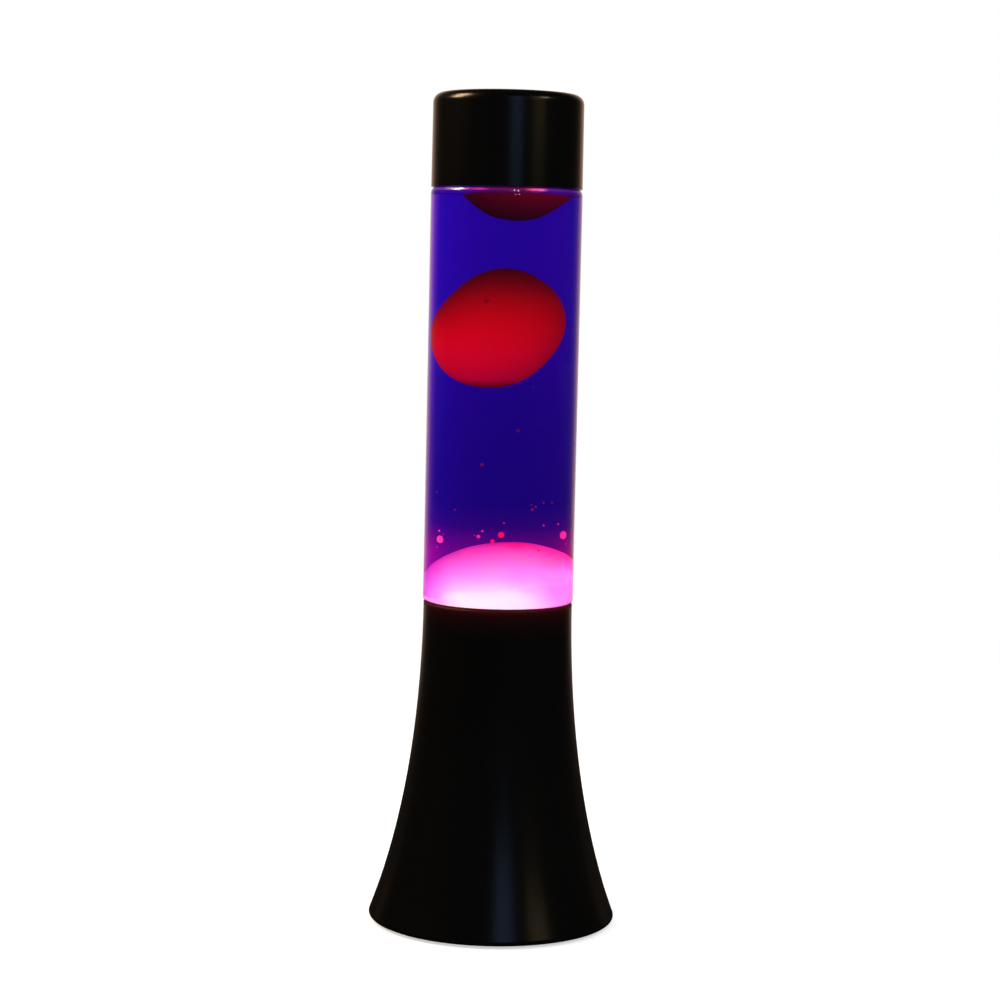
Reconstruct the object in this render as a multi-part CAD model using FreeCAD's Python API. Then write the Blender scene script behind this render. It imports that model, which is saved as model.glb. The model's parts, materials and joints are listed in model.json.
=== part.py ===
import FreeCAD, Part
import math
import os

# Liquid motion lamp: a black flared base with a reflector bulb inside, a glass bottle
# of violet liquid and wax standing in its neck, and a black cap over the bottle's neck.
# Millimetres, +Z up, origin in the middle of the footprint on the resting surface.

# Bottle
glass_diameter = 60.0
glass_wall = 2.0
visible_glass = 163.5
plug_depth = 16.0
floor_thickness = 2.6
floor_punt = 1.2
plug_corner = 4.0
heel_corner = 1.0
shoulder_corner = 2.5
shoulder_turn = 80.0
shoulder_rise = 3.6
neck_radius = 14.3
neck_wall = 2.2
neck_headroom = 13.4
finish_step = 1.0
finish_height = 6.0
finish_recess = 0.6
finish_corner = 1.2
air_gap = 2.3

# Crown closure
crown_flare = 2.7
crown_skirt_height = 6.0
crown_sheet = 0.3
crown_flutes = 21
crown_flute_depth = 1.8
liner_thickness = 0.5

# Cap
cap_height = 37.0
cap_step = 0.1
cap_wall = 1.2
cap_corner = 4.0
cap_taper = 0.15
cap_ring_height = 7.5
cap_ring_web = 1.6
cap_ring_wall = 1.6
cap_ring_above_shoulder = 3.0
cap_ring_room = 0.6

# Base shell: a spun cone with a concave flare
foot_proud = 1.0
rim_step = 0.3
rim_handle = 33.1
rim_corner = 0.5
foot_radius = 49.3
foot_edge_height = 2.1
foot_handle = 42.9
foot_flare = 0.379
foot_lip = 6.3
base_wall = 1.5

# Seat ring that carries the bottle in the neck of the base
ring_flange = 0.6
ring_flange_inset = 0.3
ring_sleeve = 1.0
ring_depth = 12.0
bottle_clearance = 0.45

# Base plate, its lugs, screws and rubber feet
foot_height = 3.3
plate_thickness = 1.2
plate_gap = 0.4
lug_width = 10.0
lug_sheet = 1.2
lug_foot = 2.4
lug_margin = 2.0
lug_angles = (-90.0, 30.0, 150.0)
plate_screw_inset = 4.2
screw_radius = 2.0
screw_head_radius = 3.6
screw_head_height = 1.4
screw_tail = 1.3
pad_radius = 5.5
pad_inset = 8.6
pad_stem_radius = 2.2
pad_head_radius = 3.4
pad_head_height = 1.5
pad_angles = (45.0, 135.0, 225.0, 315.0)
vent_width = 3.0
vent_length = 11.0
vent_from_pad = 2.5
vent_spread = 12.0

# Grommet of the cord inlet, at the back
inlet_height = 15.0
inlet_hole_radius = 4.6
inlet_neck_wall = 1.35
inlet_flange_radius = 6.2
inlet_flange = 1.6
inlet_round = 0.5

# Bracket, nipple and nut under the lampholder
bracket_rise = 9.5
bracket_sheet = 1.2
bracket_width = 16.0
bracket_half_span = 15.0
bracket_leg_run = 3.0
bracket_foot = 9.0
nipple_radius = 5.0
nipple_wall = 1.6
nipple_below = 3.6
nipple_above = 7.5
nut_height = 3.0
nut_flats = 14.0

# Screw cap of the bulb and the thread that it shares with the lampholder
thread_pitch = 2.822
thread_mean_radius = 6.5
thread_depth = 0.35
thread_clearance = 0.15
thread_steps = 12
thread_length = 10.9
collar_height = 4.0
collar_step = 0.1
cap_shell_wall = 0.75
cap_shell_floor = 0.5
button_radius = 2.0
button_height = 0.9
insulator_height = 2.7
insulator_low_radius = 4.2

# Lampholder
holder_wall = 1.5
holder_room = 0.6
dome_floor = 2.4
dome_boss_wall = 3.0
dome_corner = 3.0
dome_tongue = 5.0
dome_tongue_wall = 1.2
ledge_rise = 13.0
ledge_width = 1.3
insert_height = 4.0
insert_slot = 3.2
socket_floor = 0.5
socket_wall = 0.6
socket_short = 0.7
socket_floor_radius = 4.9
skirt_overlap = 1.0
skirt_room = 1.5
skirt_lip = 2.0
skirt_lip_room = 1.15
terminal_size = 4.4
terminal_height = 4.0
terminal_screw_radius = 0.7
terminal_screw_head = 1.2
terminal_screw_head_height = 0.6
terminal_screw_proud = 0.7
tongue_width = 3.0
tongue_sheet = 0.4
tongue_rise = 1.7

# Terminal block and the two leads from it to the lampholder
block_centre_y = 25.0
block_depth = 13.0
block_width = 18.0
block_height = 9.5
block_pitch = 8.0
block_hole_height = 4.0
block_hole_radius = 1.7
barrel_wall = 0.7
block_step = 2.0
block_screw_pitch = 6.0
block_screw_radius = 1.3
lead_radius = 0.9
lead_spread = 1.5
lead_under_bracket = 6.6
lead_bend_share = 0.45

# Glass and inside of the reflector bulb
bulb_length = 63.0
bulb_radius = 19.5
bulb_glass = 0.8
bulb_neck_start = 8.0
bulb_crown = 15.5
bulb_crown_fullness = 0.56
bulb_room = 17.8
stem_radius = 3.2
stem_height = 14.0
filament_above_stem = 10.0
support_radius = 0.35
support_spread = 5.1
filament_wire = 0.2
filament_coil = 0.9
filament_turns = 10

# Wax pool and heating coil
pool_rise = 23.8
pool_drop = 16.3
pool_power = 2.34
pool_shift = 1.8
pool_tilt = 4.0
pool_overreach = 1.3
coil_side_room = 8.7
coil_curl_radius = 2.4
coil_wire = 0.9
coil_curls = 38
coil_opening = 18.0
coil_seat = 0.05
coil_groove = 0.35

# Wax blobs and beads in the liquid. A bead has its angle round the axis, its centre's
# distance from the glass as a share of the bore's radius, its height above the base as
# a share of the pool's, and its own radius as a share of the bore's.
blob_share = 0.6642
blob_shift = -1.6
blob_side_room = 8.0
blob_stretch = 4.1
blob_tilt = 19.4
lens_shift = 3.2
lens_side_room = 12.1
lens_depth = 10.3
lens_rim = 1.2
cavity_gap = 0.3
beads = (
    (-148.8, 0.1036, 1.0798, 0.0536),
    (-88.3, 0.1429, 1.2101, 0.0446),
    (-23.3, 0.1036, 1.1891, 0.0589),
    (-96.2, 0.1393, 1.1513, 0.0286),
    (-108.6, 0.1143, 1.2059, 0.0232),
    (-59.8, 0.0714, 1.6387, 0.0179),
    (-64.6, 0.0571, 2.9244, 0.0214),
    (-106.0, 0.1071, 2.3529, 0.0232),
)

# Fits
thread_gap = 0.05
press_gap = 0.05
loose_gap = 0.3

# Places that follow from the sizes above, from the floor up
plate_bottom = foot_height
plate_top = plate_bottom + plate_thickness
bracket_top = plate_top + bracket_rise
ledge_height = bracket_top + ledge_rise
insert_top = ledge_height + insert_height
contact_height = insert_top + tongue_rise
thread_bottom = contact_height + button_height + insulator_height
thread_top = thread_bottom + thread_length
collar_top = thread_top + collar_height
socket_top = thread_top - socket_short
skirt_bottom = ledge_height + skirt_overlap
skirt_top = socket_top + skirt_room + skirt_lip
bulb_top = contact_height + bulb_length
bottle_bottom = bulb_top + bulb_room
base_height = bottle_bottom + plug_depth
shell_top = base_height - ring_flange
glass_top = base_height + visible_glass
cap_top = glass_top + cap_height
neck_top = cap_top - neck_headroom
finish_bottom = neck_top - finish_height
liquid_level = glass_top - air_gap

# Radii that follow, from the outside in
glass_radius = glass_diameter / 2
bore_radius = glass_radius - glass_wall
cap_radius = glass_radius - cap_step
rim_radius = glass_radius - rim_step
ring_sleeve_outer = rim_radius - base_wall - press_gap
ring_bore = ring_sleeve_outer - ring_sleeve
plug_radius = ring_bore - bottle_clearance
plug_bore_radius = plug_radius - glass_wall
finish_radius = neck_radius - finish_step
crown_skirt_radius = finish_radius + crown_flare
mouth_radius = foot_radius - foot_lip
plate_radius = mouth_radius - plate_gap
pad_ring_radius = plate_radius - pad_inset
inlet_bore_radius = inlet_hole_radius - inlet_neck_wall
crest_radius = thread_mean_radius + thread_depth
collar_radius = crest_radius + collar_step
cap_shell_bore = thread_mean_radius - cap_shell_wall
bulb_neck_radius = cap_shell_bore - loose_gap / 2
socket_outer = crest_radius + thread_clearance + socket_wall
terminal_offset = socket_outer - tongue_sheet
ledge_radius = terminal_offset + terminal_size / 2 + holder_room
dome_inside = ledge_radius + ledge_width
holder_radius = dome_inside + dome_tongue_wall + holder_wall
coil_ring_radius = plug_bore_radius - coil_side_room
blob_half_width = bore_radius - blob_side_room
blob_half_length = blob_half_width + blob_stretch
lens_radius = bore_radius - lens_side_room

Z = FreeCAD.Vector(0, 0, 1)
ORIGIN = FreeCAD.Vector(0, 0, 0)


def vec(x, y, z):
    return FreeCAD.Vector(x, y, z)


def at(radius, height):
    """A point of a turned profile, in the XZ plane."""
    return FreeCAD.Vector(radius, 0, height)


def polar(radius, degrees, height):
    angle = math.radians(degrees)
    return FreeCAD.Vector(radius * math.cos(angle), radius * math.sin(angle), height)


def line(start, end):
    return Part.LineSegment(start, end).toShape()


def arc_about(centre, radius, first, last):
    """An arc in the XZ plane, by its angles from +X towards +Z."""
    points = []
    for degrees in (first, (first + last) / 2, last):
        angle = math.radians(degrees)
        points.append(centre + at(radius * math.cos(angle), radius * math.sin(angle)))
    return Part.Arc(*points).toShape()


def bezier(*poles):
    curve = Part.BezierCurve()
    curve.setPoles(list(poles))
    return curve.toShape()


def spline_through(points, start_tangent, end_tangent):
    curve = Part.BSplineCurve()
    curve.interpolate(Points=points, InitialTangent=start_tangent, FinalTangent=end_tangent)
    return curve.toShape()


def edge_ends(edge):
    return edge.valueAt(edge.FirstParameter), edge.valueAt(edge.LastParameter)


def turned(pieces):
    """Revolve a profile of points and curves round the Z axis.

    Points are joined by straight lines, also to and from the ends of the curves.
    """
    edges = []
    cursor = None
    first = None
    for piece in pieces:
        if isinstance(piece, FreeCAD.Vector):
            start, end = piece, piece
        else:
            start, end = edge_ends(piece)
        if cursor is None:
            first = start
        elif cursor.distanceToPoint(start) > 1e-7:
            edges.append(line(cursor, start))
        if not isinstance(piece, FreeCAD.Vector):
            edges.append(piece)
        cursor = end
    if cursor.distanceToPoint(first) > 1e-7:
        edges.append(line(cursor, first))
    face = Part.Face(Part.Wire(edges))
    return face.revolve(ORIGIN, Z, 360)


def disc(radius, bottom, height, x=0.0, y=0.0):
    return Part.makeCylinder(radius, height, vec(x, y, bottom), Z)


def tube(outer, inner, bottom, height, x=0.0, y=0.0):
    return disc(outer, bottom, height, x, y).cut(disc(inner, bottom, height, x, y))


def block(x0, x1, y0, y1, z0, z1):
    return Part.makeBox(x1 - x0, y1 - y0, z1 - z0, vec(x0, y0, z0))


def spun(shape, degrees):
    """A copy turned about the Z axis."""
    copy = shape.copy()
    copy.rotate(ORIGIN, Z, degrees)
    return copy


def tangent_path(points, share):
    """Straight runs through the points, with a tangent arc at each inner point.

    Each arc starts at the given share of the shorter run beside its point.
    """
    edges = []
    cursor = points[0]
    for before, corner, after in zip(points, points[1:], points[2:]):
        setback = share * min(before.distanceToPoint(corner), after.distanceToPoint(corner))
        u = (before - corner).normalize()
        v = (after - corner).normalize()
        half = u.getAngle(v) / 2
        radius = setback * math.tan(half)
        inward = (u + v).normalize()
        middle = corner + inward * (radius / math.sin(half) - radius)
        start = corner + u * setback
        end = corner + v * setback
        edges.append(line(cursor, start))
        edges.append(Part.Arc(start, middle, end).toShape())
        cursor = end
    edges.append(line(cursor, points[-1]))
    return Part.Wire(edges)


def round_pipe(path, radius):
    """A solid round bar along a path that starts straight."""
    start = path.Edges[0].valueAt(path.Edges[0].FirstParameter)
    ahead = path.Edges[0].tangentAt(path.Edges[0].FirstParameter)
    ring = Part.Wire(Part.Circle(start, ahead, radius).toShape())
    return path.makePipeShell([ring], True, False)


def biarc(start, start_way, end, end_way):
    """Two arcs that leave start and reach end along the given unit directions."""
    across = end - start
    ways = start_way + end_way
    bend = 2 * (1 - start_way.dot(end_way))
    reach = across.dot(ways)
    handle = (math.sqrt(reach * reach + bend * across.dot(across)) - reach) / bend
    near = start + start_way * handle
    far = end - end_way * handle
    joint = (near + far) / 2
    edges = []
    for first, corner, last in ((start, near, joint), (joint, far, end)):
        chord_middle = (first + last) / 2
        rise = corner - chord_middle
        turn = math.pi - (first - corner).getAngle(last - corner)
        sagitta = first.distanceToPoint(last) / 2 * math.tan(turn / 4)
        edges.append(Part.Arc(first, chord_middle + rise.normalize() * sagitta, last).toShape())
    return edges


def wound_bar(place, way, turns, wire_radius):
    """A round bar wound along a curve given by its place and direction at each turn."""
    edges = []
    quarters = int(round(turns * 4))
    for index in range(quarters):
        a = index / 4
        b = (index + 1) / 4
        edges += biarc(place(a), way(a), place(b), way(b))
    path = Part.Wire(edges)
    ring = Part.Wire(Part.Circle(place(0), way(0), wire_radius).toShape())
    return path.makePipeShell([ring], True, False)


def least_self_gap(place, turns, wire_radius):
    """The least gap between neighbouring turns of a winding, measured on points."""
    steps = 36
    points = [place(index / steps) for index in range(int(turns * steps) + 1)]
    least = None
    for index, point in enumerate(points):
        for other in points[index + steps * 2 // 3 : index + steps * 4 // 3]:
            span = point.distanceToPoint(other)
            least = span if least is None else min(least, span)
    return least - 2 * wire_radius


def screw_body(mean_radius, bottom, top):
    """A rolled round thread: a level circle carried up a tight right-hand helix."""
    rings = []
    steps = int(math.ceil((top - bottom) / thread_pitch * thread_steps))
    for index in range(steps + 1):
        height = bottom + (top - bottom) * index / steps
        degrees = 360 * height / thread_pitch
        centre = polar(thread_depth, degrees, height)
        rings.append(Part.Wire(Part.Circle(centre, Z, mean_radius).toShape()))
    return Part.makeLoft(rings, True, False)


def stadium(length_from, length_to, width, bottom, height):
    """A slot with round ends along +X."""
    body = block(length_from, length_to, -width / 2, width / 2, bottom, bottom + height)
    body = body.fuse(disc(width / 2, bottom, height, length_from))
    return body.fuse(disc(width / 2, bottom, height, length_to)).removeSplitter()


def save(name, shape):
    if isinstance(shape, (list, tuple)):
        shape = Part.makeCompound(list(shape))
    if len(shape.Solids) == 1:
        shape = shape.Solids[0]
    assert shape.isValid(), name
    shape.exportStep(f"parts/{name}.step")
    print(f"{name:26s} solids {len(shape.Solids):3d}  volume {shape.Volume:10.1f}")


# Base shell

def base_poles(inset):
    """Poles of the flare, drawn in level by the inset."""
    edge = foot_proud + foot_edge_height
    return (
        at(rim_radius - inset, shell_top),
        at(rim_radius - inset, shell_top - rim_handle),
        at(foot_radius - inset - foot_flare * foot_handle, edge + foot_handle),
        at(foot_radius - inset, edge),
    )


def flare_point(height):
    """Radius of the flare's outside at a height, and its slope there."""
    curve = Part.BezierCurve()
    curve.setPoles(list(base_poles(0)))
    low, high = 0.0, 1.0
    for _ in range(50):
        middle = (low + high) / 2
        if curve.value(middle).z > height:
            low = middle
        else:
            high = middle
    way = curve.tangent(low)[0]
    return curve.value(low).x, way.x / way.z


def base_shell():
    slope_length = math.hypot(foot_flare, 1)
    edge_height = foot_proud + foot_edge_height
    edge_radius = foot_edge_height / (1 + foot_flare / slope_length)
    inward = at(-1 / slope_length, -foot_flare / slope_length)
    centre = at(foot_radius, edge_height) + inward * edge_radius
    lean = math.degrees(math.atan(foot_flare))
    profile = [
        at(mouth_radius, foot_proud),
        arc_about(centre, edge_radius, -90, lean),
        bezier(*reversed(base_poles(0))),
        at(rim_radius - base_wall, shell_top),
        bezier(*base_poles(base_wall)),
        at(foot_radius - base_wall, foot_proud + base_wall),
        at(mouth_radius, foot_proud + base_wall),
    ]
    shell = turned(profile)
    rim_edges = [
        edge
        for edge in shell.Edges
        if abs(edge.BoundBox.ZMin - shell_top) < 1e-6
        and abs(edge.BoundBox.ZMax - shell_top) < 1e-6
        and abs(edge.BoundBox.XMax - rim_radius) < 1e-6
    ]
    shell = shell.makeFillet(rim_corner, rim_edges)
    return shell.cut(inlet_cylinder(inlet_hole_radius, -4 * base_wall, 4 * base_wall))


# Cord inlet

def inlet_frame():
    """Point on the shell's outside at the back, and the outward normal there."""
    radius, slope = flare_point(inlet_height)
    normal = vec(0, 1, -slope).normalize()
    return vec(0, radius, inlet_height), normal


def inlet_cylinder(radius, start, end):
    """A cylinder on the inlet's axis, between two distances from the outside."""
    point, normal = inlet_frame()
    return Part.makeCylinder(radius, end - start, point + normal * start, normal)


def cord_grommet(shell):
    wall = base_wall * inlet_frame()[1].y
    outside = inlet_cylinder(inlet_flange_radius, -wall, inlet_flange)
    ends = [edge for edge in outside.Edges if edge.Length > 1 and len(edge.Vertexes) == 1]
    point, normal = inlet_frame()
    outer_ring = max(ends, key=lambda edge: (edge.CenterOfMass - point).dot(normal))
    outside = outside.makeFillet(inlet_round, [outer_ring])
    inside = inlet_cylinder(inlet_flange_radius, -wall - inlet_flange, -wall)
    body = outside.fuse(inside)
    body = body.cut(inlet_cylinder(inlet_bore_radius, -4 * base_wall, 4 * base_wall))
    body = body.cut(shell)
    return max(body.Solids, key=lambda solid: solid.Volume)


# Plate, lugs, screws and feet

def screw_ring_radius():
    return plate_radius - plate_screw_inset


def base_plate():
    plate = disc(plate_radius, plate_bottom, plate_thickness)
    outer = pad_ring_radius - pad_radius - vent_from_pad
    for degrees in lug_angles:
        place = polar(screw_ring_radius(), degrees, 0)
        plate = plate.cut(disc(screw_radius + loose_gap, plate_bottom, plate_thickness, place.x, place.y))
    for degrees in pad_angles:
        place = polar(pad_ring_radius, degrees, 0)
        plate = plate.cut(disc(pad_stem_radius, plate_bottom, plate_thickness, place.x, place.y))
        for side in (-vent_spread, vent_spread):
            slot = stadium(outer - vent_length, outer, vent_width, plate_bottom, plate_thickness)
            plate = plate.cut(spun(slot, degrees + side))
    for x in (-bracket_screw_x(), bracket_screw_x()):
        plate = plate.cut(disc(screw_radius + press_gap, plate_bottom, plate_thickness, x))
    hole = disc(block_screw_radius + press_gap, plate_bottom, plate_thickness, 0, block_centre_y)
    return plate.cut(hole)


def plate_lug():
    """A joggled strap from the shell's turned-in edge to the top of the plate, along +X."""
    half = lug_width / 2
    root = mouth_radius
    edge_top = foot_proud + base_wall
    foot = block(root, root + lug_foot + lug_sheet, -half, half, edge_top, edge_top + lug_sheet)
    riser = block(root, root + lug_sheet, -half, half, edge_top, plate_top + lug_sheet)
    end = screw_ring_radius() - screw_radius - lug_margin
    arm = block(end, root + lug_sheet, -half, half, plate_top, plate_top + lug_sheet)
    lug = foot.fuse(riser).fuse(arm).removeSplitter()
    hole = disc(screw_radius + thread_gap, plate_top, lug_sheet, screw_ring_radius())
    return lug.cut(hole)


def cross_slot(reach, width, bottom, depth, x=0.0, y=0.0):
    first = block(x - reach, x + reach, y - width / 2, y + width / 2, bottom, bottom + depth)
    second = block(x - width / 2, x + width / 2, y - reach, y + reach, bottom, bottom + depth)
    return first.fuse(second)


def plate_screw():
    """A pan head screw driven up from below, at the first lug along +X."""
    x = screw_ring_radius()
    head = disc(screw_head_radius, plate_bottom - screw_head_height, screw_head_height, x)
    rims = [edge for edge in head.Edges if edge.BoundBox.ZMax < plate_bottom - screw_head_height / 2]
    head = head.makeFillet(screw_head_height / 2, rims)
    shank_height = plate_thickness + lug_sheet + screw_tail
    shank = disc(screw_radius, plate_bottom, shank_height, x)
    recess = cross_slot(
        screw_head_radius / 2, screw_radius / 2, plate_bottom - screw_head_height, screw_head_height / 2, x
    )
    return head.fuse(shank).cut(recess).removeSplitter()


def rubber_foot():
    """A moulded foot along +X, plugged through the plate."""
    pad = disc(pad_radius, 0, foot_height, pad_ring_radius)
    rims = [edge for edge in pad.Edges if edge.BoundBox.ZMax < foot_height / 2]
    pad = pad.makeFillet(foot_height / 4, rims)
    stem = disc(pad_stem_radius, foot_height, plate_thickness, pad_ring_radius)
    head = Part.makeCone(
        pad_head_radius, pad_stem_radius, pad_head_height, vec(pad_ring_radius, 0, plate_top), Z
    )
    return pad.fuse(stem).fuse(head).removeSplitter()


# Bracket, nipple and nut

def bracket_screw_x():
    return bracket_half_span + bracket_leg_run + bracket_foot / 2


def holder_bracket():
    """A hat-shaped strap across X."""
    inner = [
        (-bracket_half_span - bracket_leg_run - bracket_foot, plate_top),
        (-bracket_half_span - bracket_leg_run, plate_top),
        (-bracket_half_span, bracket_top - bracket_sheet),
        (bracket_half_span, bracket_top - bracket_sheet),
        (bracket_half_span + bracket_leg_run, plate_top),
        (bracket_half_span + bracket_leg_run + bracket_foot, plate_top),
    ]
    lean = math.atan2(bracket_leg_run, bracket_top - bracket_sheet - plate_top)
    side = bracket_sheet * math.tan(math.pi / 4 - lean / 2)
    outer = [
        (bracket_half_span + bracket_leg_run + bracket_foot, plate_top + bracket_sheet),
        (bracket_half_span + bracket_leg_run + side, plate_top + bracket_sheet),
        (bracket_half_span + side, bracket_top),
        (-bracket_half_span - side, bracket_top),
        (-bracket_half_span - bracket_leg_run - side, plate_top + bracket_sheet),
        (-bracket_half_span - bracket_leg_run - bracket_foot, plate_top + bracket_sheet),
    ]
    points = [vec(x, -bracket_width / 2, z) for x, z in inner + outer]
    strap = Part.Face(Part.makePolygon(points + points[:1])).extrude(vec(0, bracket_width, 0))
    strap = strap.cut(disc(nipple_radius + press_gap, bracket_top - bracket_sheet, bracket_sheet))
    for x in (-bracket_screw_x(), bracket_screw_x()):
        strap = strap.cut(disc(screw_radius + press_gap, plate_top, bracket_sheet, x))
    return strap


def bracket_screw(x):
    bottom = plate_top + bracket_sheet
    head = disc(screw_head_radius, bottom, screw_head_height, x)
    rims = [edge for edge in head.Edges if edge.BoundBox.ZMin > bottom + screw_head_height / 2]
    head = head.makeFillet(screw_head_height / 2, rims)
    shank_bottom = plate_bottom - screw_tail / 2
    shank = disc(screw_radius, shank_bottom, bottom - shank_bottom, x)
    depth = screw_head_height / 2
    recess = cross_slot(
        screw_head_radius / 2, screw_radius / 2, bottom + screw_head_height - depth, depth, x
    )
    return head.fuse(shank).cut(recess).removeSplitter()


def threaded_nipple():
    bottom = bracket_top - bracket_sheet - nipple_below
    top = bracket_top + nipple_above
    return tube(nipple_radius, nipple_radius - nipple_wall, bottom, top - bottom)


def lock_nut():
    top = bracket_top - bracket_sheet
    corner = nut_flats / 2 / math.cos(math.pi / 6)
    points = [polar(corner, 60 * index, top - nut_height) for index in range(7)]
    nut = Part.Face(Part.makePolygon(points)).extrude(vec(0, 0, nut_height))
    return nut.cut(disc(nipple_radius + thread_gap, top - nut_height, nut_height))


# Lampholder

def lampholder_dome():
    bore = nipple_radius + thread_gap
    boss = nipple_radius + dome_boss_wall
    tongue = holder_radius - holder_wall - press_gap
    return turned([
        at(bore, bracket_top),
        arc_about(at(holder_radius - dome_corner, bracket_top + dome_corner), dome_corner, -90, 0),
        at(holder_radius, skirt_bottom),
        at(tongue, skirt_bottom),
        at(tongue, skirt_bottom + dome_tongue),
        at(dome_inside, skirt_bottom + dome_tongue),
        at(dome_inside, ledge_height),
        at(ledge_radius, ledge_height),
        at(ledge_radius, bracket_top + dome_floor),
        at(boss, bracket_top + dome_floor),
        at(boss, bracket_top + nipple_above),
        at(bore, bracket_top + nipple_above),
    ])


def lampholder_skirt():
    sleeve = holder_radius - holder_wall
    lip_radius = collar_radius + skirt_lip_room
    corner = skirt_lip / 2
    return turned([
        at(sleeve, skirt_bottom),
        at(holder_radius, skirt_bottom),
        arc_about(at(holder_radius - corner, skirt_top - corner), corner, 0, 90),
        at(lip_radius, skirt_top),
        at(lip_radius, skirt_top - skirt_lip),
        at(sleeve, skirt_top - skirt_lip),
    ])


def leg_box(side, bottom, top):
    """A flat brass leg beside the axis, on the given side."""
    x = side * terminal_offset
    half = tongue_sheet / 2
    return block(x - half, x + half, -tongue_width / 2, tongue_width / 2, bottom, top)


def leg_hole(side, bottom, top):
    x = side * terminal_offset
    half = tongue_sheet / 2 + press_gap
    reach = tongue_width / 2 + press_gap
    return block(x - half, x + half, -reach, reach, bottom, top)


def holder_insert():
    body = disc(dome_inside - press_gap, ledge_height, insert_height)
    slot_end = -terminal_offset - tongue_sheet - press_gap
    slot = block(slot_end, insert_slot, -insert_slot / 2, insert_slot / 2,
                 insert_top - 2 * tongue_sheet, insert_top)
    body = body.cut(slot)
    for side in (-1, 1):
        body = body.cut(leg_hole(side, ledge_height, insert_top))
    return body


def holder_screw_shell():
    """The lampholder's threaded brass shell, with its floor and one leg."""
    bottom = insert_top
    shell = disc(socket_outer, bottom, socket_top - bottom)
    bore_mean = thread_mean_radius + thread_clearance
    shell = shell.cut(screw_body(bore_mean, bottom + socket_floor, socket_top))
    shell = shell.cut(disc(socket_floor_radius, bottom, socket_floor))
    leg = leg_box(1, ledge_height - terminal_height, bottom)
    return shell.fuse(leg).removeSplitter()


def holder_centre_contact():
    """A brass strip in the insert's slot, with a sprung tongue and one leg."""
    low = insert_top - 2 * tongue_sheet
    half = tongue_width / 2
    back = -terminal_offset - tongue_sheet / 2
    strip = block(back, -insert_slot / 2, -half, half, low, low + tongue_sheet)
    leg = leg_box(-1, ledge_height - terminal_height, low)
    ramp_start = -insert_slot / 2
    top = contact_height
    points = [
        vec(ramp_start, -half, low),
        vec(-button_radius / 2, -half, top - tongue_sheet),
        vec(button_radius, -half, top - tongue_sheet),
        vec(button_radius, -half, top),
        vec(-button_radius / 2, -half, top),
        vec(ramp_start, -half, low + tongue_sheet),
    ]
    tongue = Part.Face(Part.makePolygon(points + points[:1])).extrude(vec(0, tongue_width, 0))
    return strip.fuse(leg).fuse(tongue).removeSplitter()


def terminal_axis_height():
    return ledge_height - (terminal_height + press_gap) / 2


def terminal_screw_x(side):
    """Half way between the leg and the block's face towards the axis."""
    return side * (terminal_offset - (tongue_sheet + terminal_size) / 4)


def holder_terminal(side):
    """A brass clamp block on a leg, open towards the axis for its lead."""
    x = side * terminal_offset
    half = terminal_size / 2
    top = ledge_height - press_gap
    bottom = ledge_height - terminal_height
    body = block(x - half, x + half, -half, half, bottom, top)
    body = body.cut(leg_box(side, bottom, top))
    hole = Part.makeCylinder(
        lead_radius + press_gap, half, vec(x - side * half, 0, terminal_axis_height()), vec(side, 0, 0)
    )
    tapping = disc(
        terminal_screw_radius + press_gap, bottom, terminal_height / 2, terminal_screw_x(side)
    )
    return body.cut(hole).cut(tapping)


def holder_terminal_screw(side):
    """Driven up from below until its tip meets the lead."""
    x = terminal_screw_x(side)
    top = terminal_axis_height() - lead_radius - press_gap
    head_top = ledge_height - terminal_height - terminal_screw_proud + terminal_screw_head_height
    shank = disc(terminal_screw_radius, head_top, top - head_top, x)
    head = disc(terminal_screw_head, head_top - terminal_screw_head_height, terminal_screw_head_height, x)
    slot = block(
        x - terminal_screw_head, x + terminal_screw_head, -loose_gap / 2, loose_gap / 2,
        head_top - terminal_screw_head_height, head_top - terminal_screw_head_height / 2,
    )
    return shank.fuse(head).cut(slot).removeSplitter()


# Terminal block and leads

def block_front():
    return block_centre_y - block_depth / 2


def block_axis_height():
    return plate_top + block_hole_height


def along_y(radius, start, end, x, z):
    return Part.makeCylinder(radius, end - start, vec(x, start, z), vec(0, 1, 0))


def barrel_radius():
    return block_hole_radius + barrel_wall


def terminal_block():
    """A two-way block with stepped ends, wells over its screws and a fixing hole."""
    half = block_width / 2
    front = block_front()
    back = front + block_depth
    top = plate_top + block_height
    body = block(-half, half, front, back, plate_top, top)
    step_top = block_axis_height() + barrel_radius() + barrel_wall
    for low, high in ((front, front + block_step), (back - block_step, back)):
        body = body.cut(block(-half, half, low, high, step_top, top))
    for x in (-block_pitch / 2, block_pitch / 2):
        body = body.cut(along_y(block_hole_radius, front, back, x, block_axis_height()))
        barrel_room = along_y(
            barrel_radius() + press_gap, front + barrel_wall, back - barrel_wall, x, block_axis_height()
        )
        body = body.cut(barrel_room)
        for y in block_screw_places():
            well = disc(block_screw_radius + loose_gap, block_axis_height(), block_height, x, y)
            body = body.cut(well)
    return body.cut(disc(block_screw_radius + press_gap, plate_top, block_height, 0, block_centre_y))


def block_screw_places():
    return (block_centre_y - block_screw_pitch / 2, block_centre_y + block_screw_pitch / 2)


def terminal_barrel(x):
    """The brass tube of one pole, with two tapped holes in its top."""
    start = block_front() + barrel_wall + press_gap
    end = start + block_depth - 2 * (barrel_wall + press_gap)
    barrel = along_y(barrel_radius(), start, end, x, block_axis_height())
    barrel = barrel.cut(along_y(block_hole_radius, start, end, x, block_axis_height()))
    for y in block_screw_places():
        barrel = barrel.cut(disc(block_screw_radius + press_gap, block_axis_height(), block_height, x, y))
    return barrel


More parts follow.
